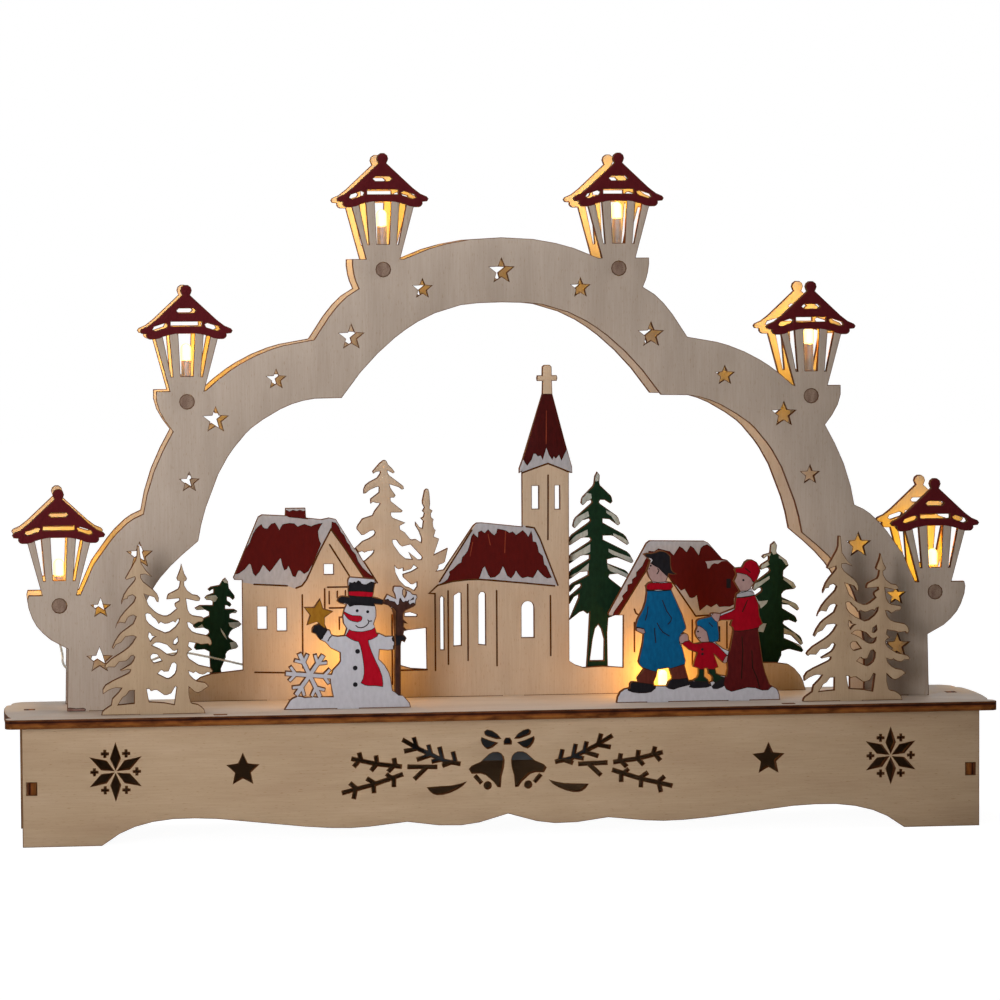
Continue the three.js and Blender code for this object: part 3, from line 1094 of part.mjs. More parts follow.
// Battery box, screwed to the underside of the board, with its lid and switch below
const boxTop = baseHeight;
const boxBottom = boxTop - boxHeight;
const boxX1 = -boxX0;
const bayX0 = boxX0 + boxWall;
const bayX1 = boxX1 - 2 * boxWall - switchBayLength;
const bayHalf = (cellCount * cellPitch + touch) / 2;
const boxHalf = bayHalf + boxSideWall;
const cellZ = boxTop - boxWall - touch - cellRadius;
const lidZ0 = boxBottom + lidLip + slideFit;
const knobX = boxX1 - boxWall - switchBayLength / 2;
const knobFootZ = boxBottom + boxWall;
const switchHalf = 9;
const switchHeight = 7;
const knobBaseThickness = 1;
const knobBaseOver = 1;
const knobBaseSunk = 0.5;
const joinOver = 0.01;
const ridgeHalf = 9;
const ridgeWidth = 1.2;
const ridgePitch = 2.4;
const ridgeCount = 4;
const ridgeStart = 4;
const ridgeClear = 0.3;

// An ear at one end of the box, with the hole for its screw
function screwEar(side) {
  const near = side > 0 ? boxX1 : boxX0 - earLength;
  const foot = boxTop - earThickness;
  const half = earWidth / 2;
  const ear = block(near - joinOver, near + earLength + joinOver, boxY - half, boxY + half, foot, boxTop);
  const x = side * screwX;
  const radius = screwRadius + slideFit;
  return ear.subtract(round(x, boxY, foot - cutMargin, boxTop + cutMargin, radius, screwSides));
}

function addBatteryBox() {
  let box = block(boxX0, boxX1, boxY - boxHalf, boxY + boxHalf, boxBottom, boxTop);
  const y0 = boxY - bayHalf;
  const y1 = boxY + bayHalf;
  box = box.subtract(block(bayX0, bayX1, y0, y1, boxBottom - cutMargin, boxTop - boxWall));
  const bayStart = boxX1 - boxWall - switchBayLength;
  box = box.subtract(block(bayStart, boxX1 - boxWall, y0, y1, knobFootZ, boxTop + cutMargin));
  const groove = bayHalf + lidTongue + slideFit;
  const grooveTop = lidZ0 + lidThickness + slideFit;
  const open = boxX0 - cutMargin;
  box = box.subtract(block(open, bayX1, boxY - groove, boxY + groove, boxBottom + lidLip, grooveTop));
  box = box.subtract(block(open, bayX0 + cutMargin, y0, y1, boxBottom - cutMargin, grooveTop));
  const slotX = knobThickness / 2 + slideFit;
  const slotY = (knobLength + knobTravel) / 2 + slideFit;
  box = box.subtract(block(
    knobX - slotX, knobX + slotX, boxY - slotY, boxY + slotY, boxBottom - cutMargin, knobFootZ + cutMargin,
  ));
  for (const side of [-1, 1]) box = box.add(screwEar(side));
  place('battery_box', toGeometry(box), blackPlastic);
}

function addLid() {
  const half = bayHalf + lidTongue;
  let lid = block(boxX0, bayX1 - slideFit, boxY - half, boxY + half, lidZ0, lidZ0 + lidThickness);
  const foot = boxBottom + ridgeClear;
  for (let i = 0; i < ridgeCount; i += 1) {
    const x = boxX0 + ridgeStart + i * ridgePitch;
    lid = lid.add(block(x, x + ridgeWidth, boxY - ridgeHalf, boxY + ridgeHalf, foot, lidZ0 + joinOver));
  }
  place('battery_lid', toGeometry(lid), blackPlastic);
}

function addSwitch() {
  const y0 = boxY - switchHalf;
  const y1 = boxY + switchHalf;
  const baseZ = knobFootZ + slideFit;
  const pocketTop = baseZ + knobBaseThickness + slideFit;
  const pocketX = knobThickness / 2 + knobBaseOver + slideFit;
  const pocketY = (knobLength + knobTravel) / 2 + knobBaseOver + slideFit;
  const bodyHalf = switchBayLength / 2 - slideFit;
  let body = block(knobX - bodyHalf, knobX + bodyHalf, y0, y1, baseZ, baseZ + switchHeight);
  body = body.subtract(block(
    knobX - pocketX, knobX + pocketX, boxY - pocketY, boxY + pocketY, baseZ - cutMargin, pocketTop,
  ));
  place('switch_body', toGeometry(body), springSteel);
  const knobY = boxY + knobTravel / 2;
  const half = knobLength / 2;
  let knob = block(
    knobX - knobThickness / 2, knobX + knobThickness / 2, knobY - half, knobY + half,
    boxBottom - knobStandOut, baseZ + knobBaseSunk,
  );
  knob = knob.add(block(
    knobX - knobThickness / 2 - knobBaseOver, knobX + knobThickness / 2 + knobBaseOver,
    knobY - half - knobBaseOver, knobY + half + knobBaseOver, baseZ, baseZ + knobBaseThickness,
  ));
  place('switch_knob', toGeometry(knob), blackPlastic);
}

// Cells lie side by side, turned end for end in turn, with a spring at each flat end.
// A spring stands as a plain cone of its own outer shape, because the box hides it.
const cellProfile = [
  [0, 0], [cellRadius, 0], [cellRadius, cellLength], [cellNubRadius, cellLength],
  [cellNubRadius, cellLength + cellNubLength], [0, cellLength + cellNubLength],
];
const springProfile = [
  [0, 0], [springFootRadius, 0], [springTipRadius, springLength], [0, springLength],
];

function addCells() {
  const half = plateThickness + springLength;
  for (let i = 0; i < cellCount; i += 1) {
    const y = boxY + (i - (cellCount - 1) / 2) * cellPitch;
    const way = i % 2 === 0 ? 1 : -1;
    const start = way > 0 ? bayX0 + half + slideFit : bayX1 - half - slideFit;
    const cell = turned(cellProfile, cellSegments);
    cell.rotateY((way * Math.PI) / 2);
    place(`battery_${i + 1}`, cell, cellBlue, start, y, cellZ);
    const spring = turned(springProfile, springSides);
    spring.rotateY((way * Math.PI) / 2);
    const foot = way > 0 ? bayX0 + plateThickness + slideFit : bayX1 - plateThickness - slideFit;
    place(`battery_spring_${i + 1}`, spring, springSteel, foot, y, cellZ);
  }
}

// Contact plates: at each end of the bay one serves two cells and one serves a single cell
function addContactPlates() {
  const z0 = cellZ - plateHeight / 2;
  const plateSpan = (name, x0, from, to) => {
    const y0 = boxY + (from - 1) * cellPitch - plateWidth / 2;
    const y1 = boxY + (to - 1) * cellPitch + plateWidth / 2;
    place(name, toGeometry(block(x0, x0 + plateThickness, y0, y1, z0, z0 + plateHeight)), springSteel);
  };
  const left = bayX0 + slideFit / 2;
  const right = bayX1 - plateThickness - slideFit / 2;
  plateSpan('contact_plate_link_left', left, 0, 1);
  plateSpan('contact_plate_end_left', left, 2, 2);
  plateSpan('contact_plate_end_right', right, 0, 0);
  plateSpan('contact_plate_link_right', right, 1, 2);
}

function addScrews() {
  const top = boxTop - earThickness - slideFit;
  const profile = [
    [0, -screwHeadHeight], [screwHeadRadius * 0.6, -screwHeadHeight], [screwHeadRadius, -screwHeadHeight / 2],
    [screwHeadRadius, 0], [screwRadius, 0], [screwRadius, earThickness + slideFit + screwBite - 1],
    [0, earThickness + slideFit + screwBite],
  ];
  [['box_screw_left', -screwX], ['box_screw_right', screwX]].forEach(([name, x]) => {
    place(name, turned(profile, screwSides), springSteel, x, boxY, top);
  });
}

addArch();
addDowels();
addVillage();
addGreenTrees();
addFrontTrees();
addSnowman();
addFamily();
addLongPanels();
addEndPanels();
addBoard();
addLamps();
addWires();
addBatteryBox();
addLid();
addSwitch();
addCells();
addContactPlates();
addScrews();

export default root;
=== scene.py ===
"""Light arch with a village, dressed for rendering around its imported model.

Each laser cut board becomes one closed mesh with scorched rims, engraved grooves and painted areas.
Dowels, lamps, wires and springs are made with Geometry Nodes. Lengths are in millimetres until a
mesh is made, and in metres from there on.
"""

import math

import bmesh
import bpy
import numpy as np
from bpy.props import FloatProperty, FloatVectorProperty, PointerProperty
from mathutils import Matrix, Vector
from mathutils.geometry import delaunay_2d_cdt


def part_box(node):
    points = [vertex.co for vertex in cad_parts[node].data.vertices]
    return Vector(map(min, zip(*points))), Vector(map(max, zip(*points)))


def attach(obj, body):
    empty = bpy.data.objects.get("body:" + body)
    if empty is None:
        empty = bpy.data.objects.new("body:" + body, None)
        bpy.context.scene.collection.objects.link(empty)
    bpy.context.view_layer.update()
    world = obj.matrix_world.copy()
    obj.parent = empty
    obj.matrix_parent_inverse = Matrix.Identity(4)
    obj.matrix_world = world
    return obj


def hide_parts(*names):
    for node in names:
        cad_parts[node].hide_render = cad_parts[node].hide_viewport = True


bl_info = {
    "name": "Light arch with village",
    "version": (1, 0, 0),
    "blender": (4, 5, 0),
    "location": "3D View > Sidebar > Light arch",
    "description": "Builds the painted boards, lamps and wires of a wooden light arch",
    "category": "Object",
}

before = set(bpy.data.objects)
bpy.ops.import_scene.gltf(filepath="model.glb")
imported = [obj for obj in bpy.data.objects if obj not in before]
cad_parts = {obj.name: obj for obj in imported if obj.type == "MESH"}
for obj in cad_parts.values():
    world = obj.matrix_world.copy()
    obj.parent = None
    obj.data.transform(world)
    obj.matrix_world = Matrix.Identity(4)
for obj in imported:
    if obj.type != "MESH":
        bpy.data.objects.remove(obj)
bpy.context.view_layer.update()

MM = 0.001
# Where the base's board ends and the standing boards start, the arch's middle, and its lanterns' dowels
BOARD_TOP = 55.0
ARCH_X = 1.8
LANTERNS = [(-190.8, 100.7), (-135.1, 188.0), (-49.8, 244.4), (53.4, 244.4), (138.7, 188.0), (194.4, 100.7)]


# Colours and nodes

def linear(colour):
    """A hex colour as it is seen on screen, in a shader's linear values. Linear values pass unchanged."""
    if not isinstance(colour, str):
        return tuple(colour)
    parts = [int(colour[i:i + 2], 16) / 255 for i in (1, 3, 5)]
    return tuple(c / 12.92 if c <= 0.04045 else ((c + 0.055) / 1.055) ** 2.4 for c in parts) + (1.0,)


def add_node(tree, kind, links=None, stops=(), **settings):
    """Adds a node with its settings, its links and, for a ramp, its (position, colour) stops.

    Each link is a socket's name or number with a value, another node's output, or another node,
    which stands for the first of its outputs that is in use.
    """
    node = tree.nodes.new(kind)
    for name, value in settings.items():
        setattr(node, name, value)
    for name, value in (links or {}).items():
        if isinstance(value, bpy.types.Node):
            value = next(output for output in value.outputs if output.enabled)
        if isinstance(value, bpy.types.NodeSocket):
            tree.links.new(value, node.inputs[name])
        else:
            node.inputs[name].default_value = value
    for number, (position, colour) in enumerate(stops):
        elements = node.color_ramp.elements
        element = elements[number] if number < len(elements) else elements.new(position)
        element.position = position
        element.color = linear(colour)
    return node


def new_material(name):
    """An empty material and its node tree."""
    material = bpy.data.materials.new(name)
    material.use_nodes = True
    material.node_tree.nodes.clear()
    return material, material.node_tree


def finish_material(material, sockets):
    """Closes a material with a Principled shader that has these sockets set or linked."""
    tree = material.node_tree
    shader = add_node(tree, "ShaderNodeBsdfPrincipled", sockets)
    add_node(tree, "ShaderNodeOutputMaterial", {"Surface": shader})
    return material


def board_pattern(tree, along, across, detail=3.0, seed=0.0):
    """Noise in the board's own millimetres, whose spots are along by across millimetres."""
    place = add_node(tree, "ShaderNodeUVMap", uv_map="board")
    scaled = add_node(tree, "ShaderNodeMapping", {
        "Vector": place, "Location": (seed, seed * 0.7, seed), "Scale": (1 / along, 1 / across, 1),
    })
    return add_node(tree, "ShaderNodeTexNoise", {
        "Vector": scaled, "Scale": 1.0, "Detail": detail, "Roughness": 0.55,
    })


def object_pattern(tree, size, detail=2.0, stretch=(1, 1, 1)):
    """Noise in the object's own space, whose spots are about size millimetres."""
    place = add_node(tree, "ShaderNodeTexCoord")
    scaled = add_node(tree, "ShaderNodeMapping", {"Vector": place.outputs["Object"], "Scale": stretch})
    return add_node(tree, "ShaderNodeTexNoise", {
        "Vector": scaled, "Scale": 1 / (size * MM), "Detail": detail,
    })


def tinted(tree, base, *patterns):
    """A colour that patterns darken in places, each given as its noise and its ramp's stops."""
    for noise, stops in patterns:
        tint = add_node(tree, "ShaderNodeValToRGB", {"Fac": noise}, stops)
        base = add_node(tree, "ShaderNodeMix", {0: 1.0, 6: base, 7: tint}, data_type="RGBA",
                        blend_type="MULTIPLY")
    return base


# Materials

def sanded_birch(name, dark, middle, light, roughness=0.68):
    """Birch plywood, sanded and unpainted: pale, nearly matt, with faint fibres along its grain."""
    material, tree = new_material(name)
    fibres = board_pattern(tree, 14.0, 0.7)
    clouds = board_pattern(tree, 60.0, 12.0, 2.0, 31.0)
    pores = board_pattern(tree, 2.6, 0.45, 1.0, 77.0)
    base = add_node(tree, "ShaderNodeValToRGB", {"Fac": clouds}, [(0.3, dark), (0.5, middle), (0.7, light)])
    colour = tinted(tree, base, (fibres, [(0.3, "#f4f1ee"), (0.7, "#ffffff")]),
                    (pores, [(0.24, "#e6dccf"), (0.36, "#ffffff")]))
    felt = add_node(tree, "ShaderNodeBump", {"Distance": 0.05 * MM, "Height": fibres})
    return finish_material(material, {
        "Base Color": colour, "Roughness": roughness, "Specular IOR Level": 0.12, "Normal": felt,
    })


# Colours of a cut, from the face where the laser entered on, and the depths between which they run
CUT_COLOURS = [
    (0.0, "#4a2812"), (0.1, "#6b3f22"), (0.2, "#4a2412"), (0.3, "#2e1208"), (0.42, "#34160b"),
    (0.52, "#6a3818"), (0.7, "#7d461f"), (0.9, "#84501f"), (1.0, "#744520"),
]
CUT_FROM = 0.25
CUT_TO = 3.45


def laser_cut_edge():
    """The cut side of three plies: dark and partly charred in its upper half, orange brown below."""
    material, tree = new_material("laser_cut_edge")
    place = add_node(tree, "ShaderNodeUVMap", uv_map="board")
    depth = add_node(tree, "ShaderNodeSeparateXYZ", {"Vector": place})
    wander = board_pattern(tree, 5.0, 1.2, 2.0, 12.0)
    shifted = add_node(tree, "ShaderNodeMath", {0: wander, 1: 0.5, 2: depth.outputs["Y"]},
                       operation="MULTIPLY_ADD")
    ply = add_node(tree, "ShaderNodeMapRange", {"Value": shifted, "From Min": CUT_FROM, "From Max": CUT_TO})
    plies = add_node(tree, "ShaderNodeValToRGB", {"Fac": ply}, CUT_COLOURS)
    char = board_pattern(tree, 9.0, 3.0, 3.0, 55.0)
    strokes = board_pattern(tree, 0.35, 40.0, 1.0, 5.0)
    return finish_material(material, {
        "Base Color": tinted(tree, plies, (char, [(0.3, "#8c7a6c"), (0.62, "#ffffff")])),
        "Roughness": 0.75, "Specular IOR Level": 0.06,
        "Normal": add_node(tree, "ShaderNodeBump", {"Distance": 0.06 * MM, "Height": strokes}),
    })


def scorched(name, dark, light):
    """Wood that the laser touched: dark brown where it ran slowly, lighter where it ran fast. The mark above
    the left foot uses it for scorch and painted shade together.
    """
    material, tree = new_material(name)
    heat = board_pattern(tree, 4.0, 4.0, 3.0, 19.0)
    return finish_material(material, {
        "Base Color": add_node(tree, "ShaderNodeValToRGB", {"Fac": heat}, [(0.3, dark), (0.7, light)]),
        "Roughness": 0.8, "Specular IOR Level": 0.05,
    })


def brushed_paint(name, dark, light, roughness=0.7):
    """Matt hobby paint brushed on birch: a little uneven in colour, with the grain just felt under it."""
    material, tree = new_material(name)
    cover = board_pattern(tree, 3.5, 1.6, 3.0, 8.0)
    grain = board_pattern(tree, 10.0, 0.6, 2.0, 3.0)
    grit = board_pattern(tree, 0.5, 0.5, 2.0, 44.0)
    height = add_node(tree, "ShaderNodeMath", {0: grit, 1: 0.35, 2: grain}, operation="MULTIPLY_ADD")
    return finish_material(material, {
        "Base Color": add_node(tree, "ShaderNodeValToRGB", {"Fac": cover}, [(0.32, dark), (0.68, light)]),
        "Roughness": roughness, "Specular IOR Level": 0.06,
        "Normal": add_node(tree, "ShaderNodeBump", {"Distance": 0.07 * MM, "Height": height}),
    })


def sawn_beech():
    """Beech dowel: its sawn end shows in the front board, grey brown with fine pores and faint rings."""
    material, tree = new_material("sawn_beech_dowel")
    pores = object_pattern(tree, 0.35, 2.0, (1, 0.05, 1))
    rings = object_pattern(tree, 2.2, 1.0, (1, 0.02, 0.3))
    base = add_node(tree, "ShaderNodeValToRGB", {"Fac": rings}, [(0.35, "#6f5749"), (0.65, "#87705f")])
    return finish_material(material, {
        "Base Color": tinted(tree, base, (pores, [(0.32, "#b9aca2"), (0.5, "#ffffff")])),
        "Roughness": 0.7, "Specular IOR Level": 0.25,
        "Normal": add_node(tree, "ShaderNodeBump", {"Distance": 0.05 * MM, "Height": pores}),
    })


def hazy(name, spots, dark, light, sockets, grit=0.0):
    """A moulded, drawn or printed surface: soft spots of two close shades, with or without a fine grit."""
    material, tree = new_material(name)
    haze = object_pattern(tree, spots)
    sockets["Base Color"] = add_node(tree, "ShaderNodeValToRGB", {"Fac": haze}, [(0.3, dark), (0.7, light)])
    if grit:
        height = object_pattern(tree, grit)
        sockets["Normal"] = add_node(tree, "ShaderNodeBump", {"Distance": grit * 0.1 * MM, "Height": height})
    return finish_material(material, sockets)


def plated_steel():
    """Nickel plated spring steel: bright grey with faint drawing marks and slightly varied gloss."""
    material, tree = new_material("nickel_plated_steel")
    marks = object_pattern(tree, 0.4, 2.0, (0.1, 1, 1))
    return finish_material(material, {
        "Base Color": add_node(tree, "ShaderNodeValToRGB", {"Fac": marks},
                               [(0.3, "#b4b5b6"), (0.7, "#cfd0d0")]),
        "Metallic": 1.0,
        "Roughness": add_node(tree, "ShaderNodeMapRange", {"Value": marks, "To Min": 0.22, "To Max": 0.4}),
    })


def clear_sheath():
    """Clear extruded PVC round a thin wire: see-through with a bright edge."""
    material, _ = new_material("clear_wire_sheath")
    return finish_material(material, {
        "Base Color": linear("#e4e6da"), "Roughness": 0.2, "IOR": 1.49,
        "Transmission Weight": 0.75, "Alpha": 0.55,
    })


def lit_lens():
    """The moulded clear dome of a warm white diode: nearly white seen head-on and amber at its rim."""
    material, tree = new_material("lit_warm_lens")
    facing = add_node(tree, "ShaderNodeLayerWeight", {"Blend": 0.35})
    glow = add_node(tree, "ShaderNodeValToRGB", {"Fac": facing.outputs["Facing"]},
                    [(0.0, "#fff4c4"), (0.22, "#fff4c4"), (0.48, "#ffd870"), (0.85, "#d98420")])
    return finish_material(material, {
        "Base Color": linear("#ffe2b0"), "Roughness": 0.25, "IOR": 1.5,
        "Emission Color": glow, "Emission Strength": 1.35,
    })


def make_materials(colours):
    """Every wood, paint, plastic and metal. A painted colour is given by its two shades."""
    wood = (colours.wood_dark, colours.wood, colours.wood_light)
    paints = {
        "roof_red": ("#420a08", colours.roof_red), "tower_red": ("#310807", "#3b0a09"),
        "worn_red": ("#5e2416", "#7a3320"), "lantern_red": ("#4c1115", colours.lantern_red),
        "snow_white": ("#aba7ab", "#b5b2b6"), "roof_snow": ("#918f92", "#9d9b9f"),
        "snow_grey": ("#8d9088", "#a3a69e"), "fir_green": ("#091d10", "#0f2716"),
        "black": ("#121013", "#1b181b"), "scarf_red": ("#970318", "#a60a20"),
        "jacket_red": ("#820112", "#940317"), "coat_blue": ("#04476b", "#06547c"),
        "plum": ("#430c0d", "#511211"), "brown": ("#4e2018", "#5c291f"), "skin": ("#94756f", "#a1827b"),
        "collar": ("#8f8a8b", "#9d9899"), "gold": ("#865712", "#94661c", 0.5),
        "broom_brown": ("#2f1a14", "#40261e"),
    }
    made = [brushed_paint(f"{name}_paint", *shades) for name, shades in paints.items()]
    made += [
        sanded_birch("sanded_birch", *wood),
        sanded_birch("smooth_birch", *wood, 0.5),
        sanded_birch("base_birch", "#a68c70", "#ac9376", "#b1987c"),
        sanded_birch("village_birch", "#a99580", "#af9b85", "#b4a08b"),
        # Painted shade: a darker copy of the birch that stands for the shade inside the base, on the back
        # board's inner face
        sanded_birch("shaded_birch", "#755a40", "#7d6145", "#84684b"),
        laser_cut_edge(),
        scorched("scorched_rim", "#4a2a14", "#6b4526"),
        scorched("engraved_line", "#3a1c0a", "#54300f"),
        # Partly painted shade: the scorched edge and the shaded gap of the slot in front of the left foot
        scorched("foot_scorch", "#6a4a40", "#8a6a60"),
        scorched("outline_line", "#1c110c", "#2b1a12"),
        sawn_beech(),
        # Moulded ABS: an even black with the fine spark-eroded texture of its mould
        hazy("black_moulded_abs", 9.0, "#15161a", "#1b1c20", {"Roughness": 0.45, "IOR": 1.53}, 0.3),
        # Printed film shrunk on a zinc cell, left bare of words: dark grey and slightly shiny
        hazy("plain_cell_jacket", 6.0, "#23272e", "#2c3138", {"Roughness": 0.3, "IOR": 1.5}),
        # The milky moulded tube that holds a diode: pale, half clear and softly shiny
        hazy("frosted_lamp_tube", 2.0, "#bfb3aa", "#d3c8be",
             {"Roughness": 0.4, "IOR": 1.49, "Transmission Weight": 0.35}),
        # Drawn and tinned copper strands: warm grey metal
        hazy("tinned_copper", 0.5, "#8f7c6a", "#a9947e", {"Metallic": 1.0, "Roughness": 0.35}),
        plated_steel(),
        clear_sheath(),
        lit_lens(),
    ]
    return {material.name: material for material in made}


MATERIALS = {}


# Boards: a board is read from its node, arranged in its own plane and built again as one closed mesh

class Plane:
    """Where a board's flat drawing lies: u and v run in its face, and w runs into the board."""

    def __init__(self, u, v):
        self.u = Vector(u)
        self.v = Vector(v)
        self.w = -self.u.cross(self.v)

    def flat(self, point):
        return (point.dot(self.u) / MM, point.dot(self.v) / MM)

    def solid(self, u, v, w):
        return (self.u * u + self.v * v + self.w * w) * MM


FRONT = Plane((1, 0, 0), (0, 0, 1))
TOP = Plane((1, 0, 0), (0, 1, 0))
LEFT = Plane((0, -1, 0), (0, 0, 1))
RIGHT = Plane((0, 1, 0), (0, 0, 1))


def add_object(name, data):
    """A new object in the scene, at the origin."""
    made = bpy.data.objects.new(name, data)
    bpy.context.scene.collection.objects.link(made)
    return made


def smooth(mesh, sharp_angle):
    """Smooth faces with sharp edges between those that meet at more than an angle in degrees."""
    mesh.polygons.foreach_set("use_smooth", [True] * len(mesh.polygons))
    mesh.set_sharp_from_angle(angle=math.radians(sharp_angle))


# How close corners are one corner, in metres, and how close to its plane a face's corners lie
SAME_CORNER = 1e-6
FLATNESS = 0.01


def read_outlines(node, plane):
    """The outline and holes of a node's face in the plane, and the depths of its two faces."""
    mesh = bmesh.new()
    mesh.from_mesh(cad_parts[node].data)
    bmesh.ops.remove_doubles(mesh, verts=mesh.verts, dist=SAME_CORNER)
    depths = [vert.co.dot(plane.w) / MM for vert in mesh.verts]
    near = min(depths)
    face = [f for f in mesh.faces
            if f.normal.dot(plane.w) < -0.99
            and all(v.co.dot(plane.w) / MM < near + FLATNESS for v in f.verts)]
    members = set(face)
    ways = {}
    for f in face:
        for corner in f.loops:
            if not any(other in members for other in corner.edge.link_faces if other is not f):
                ways.setdefault(corner.vert, []).append(corner.link_loop_next.vert)
    loops = []
    while ways:
        here = next(iter(ways))
        loop = []
        while here in ways:
            loop.append(plane.flat(here.co))
            nexts = ways[here]
            following = nexts.pop()
            if not nexts:
                del ways[here]
            here = following
        if len(loop) > 2:
            loops.append(loop)
    mesh.free()
    return loops, near, max(depths)


def area(loop):
    """The area that a loop encloses, negative where it runs clockwise."""
    return sum(a[0] * b[1] - b[0] * a[1] for a, b in zip(loop, loop[1:] + loop[:1])) / 2


def offset(points, width, closed=True):
    """The points moved to the left of their way by a width, with limited corners."""
    moved = []
    count = len(points)
    for i, here in enumerate(points):
        ways = []
        for j, k in ((i - 1, i), (i, i + 1)):
            if closed or (j >= 0 and k < count):
                a = Vector(points[j])
                b = Vector(points[k % count])
                if (b - a).length > 1e-6:
                    ways.append((b - a).normalized())
        sides = [Vector((-way.y, way.x)) for way in ways]
        middle = sum(sides, Vector((0, 0)))
        if middle.length < 1e-3:
            middle = sides[0]
        middle.normalize()
        moved.append(tuple(Vector(here) + middle * width / max(middle.dot(sides[0]), 0.5)))
    return moved


def inside(centres, loops):
    """For each centre, whether it is inside the loops, with holes left out."""
    odd = np.zeros(len(centres), bool)
    x = centres[:, 0:1]
    y = centres[:, 1:2]
    for loop in loops:
        a = np.array(loop)
        b = np.roll(a, -1, axis=0)
        rise = b[:, 1] - a[:, 1]
        crosses = (a[:, 1] > y) != (b[:, 1] > y)
        place = a[:, 0] + (y - a[:, 1]) * (b[:, 0] - a[:, 0]) / np.where(rise == 0, 1, rise)
        odd ^= (crosses & (x < place)).sum(axis=1) % 2 == 1
    return odd


def groove(points, width):
    """The outline of an engraved line, pointed at its ends, and its centre line."""
    points = [Vector(p) for p in points]
    centre = [tuple(p) for p in points]
    start = points[0] - (points[1] - points[0]).normalized() * width / 2
    end = points[-1] + (points[-1] - points[-2]).normalized() * width / 2
    left = offset(centre, width / 2, False)
    right = offset(centre, -width / 2, False)
    return [tuple(start)] + right + [tuple(end)] + left[::-1], centre


def dot(centre, radius, sides=14):
    """A small round outline."""
    angles = [i * math.tau / sides for i in range(sides)]
    return [(centre[0] + radius * math.cos(a), centre[1] + radius * math.sin(a)) for a in angles]


def near_line(point, line, reach=1e-3):
    """Whether a point lies on a line of points."""
    here = Vector(point)
    for a, b in zip(line, line[1:]):
        a = Vector(a)
        way = Vector(b) - a
        along = max(0.0, min(1.0, (here - a).dot(way) / way.length_squared))
        if (a + way * along - here).length < reach:
            return True
    return False


class Drawing:
    """What is painted and engraved on a board, in the order in which it was put on."""

    def __init__(self, origin=(0, 0)):
        self.origin = origin
        self.areas = []
        self.centres = []

    def at(self, points):
        return [(u + self.origin[0], v + self.origin[1]) for u, v in points]

    def paint(self, colour, *outlines):
        for outline in outlines:
            self.areas.append((colour, self.at(outline)))

    def outlined(self, colour, *outlines, border=0.17):
        """Painted areas that an engraved line surrounds."""
        for outline in outlines:
            loop = self.at(outline)
            turn = 1 if area(loop) > 0 else -1
            self.areas.append(("outline_line", offset(loop, -border * turn)))
            self.areas.append((colour, offset(loop, border * 0.7 * turn)))

    def engrave(self, *lines, width, colour="engraved_line"):
        for line in lines:
            outline, centre = groove(self.at(line), width)
            self.areas.append((colour, outline))
            self.centres.append(centre)


def arrange(loops, rims, drawing):
    """Cuts a board's face along every outline and groove. Gives its points and its triangles."""
    points = []
    edges = []

    def add(line, closed):
        first = len(points)
        points.extend(Vector(p) for p in line)
        edges.extend((first + i, first + i + 1) for i in range(len(line) - 1))
        if closed:
            edges.append((first + len(line) - 1, first))

    for loop in loops + rims + [outline for _, outline in drawing.areas]:
        add(loop, True)
    for centre in drawing.centres:
        add(centre, False)
    found, _, faces, _, _, _ = delaunay_2d_cdt(points, edges, [], 0, 1e-4)
    flat = np.array([tuple(p) for p in found])
    triangles = np.array([tuple(f) for f in faces])
    return flat, triangles[inside(flat[triangles].mean(axis=1), loops)]


# The first slots of every board: its face, its back, its scorched rims and its cut edge
FACE, BACK, RIM, CUT = range(4)
BOARD_SHARP_ANGLE = 24


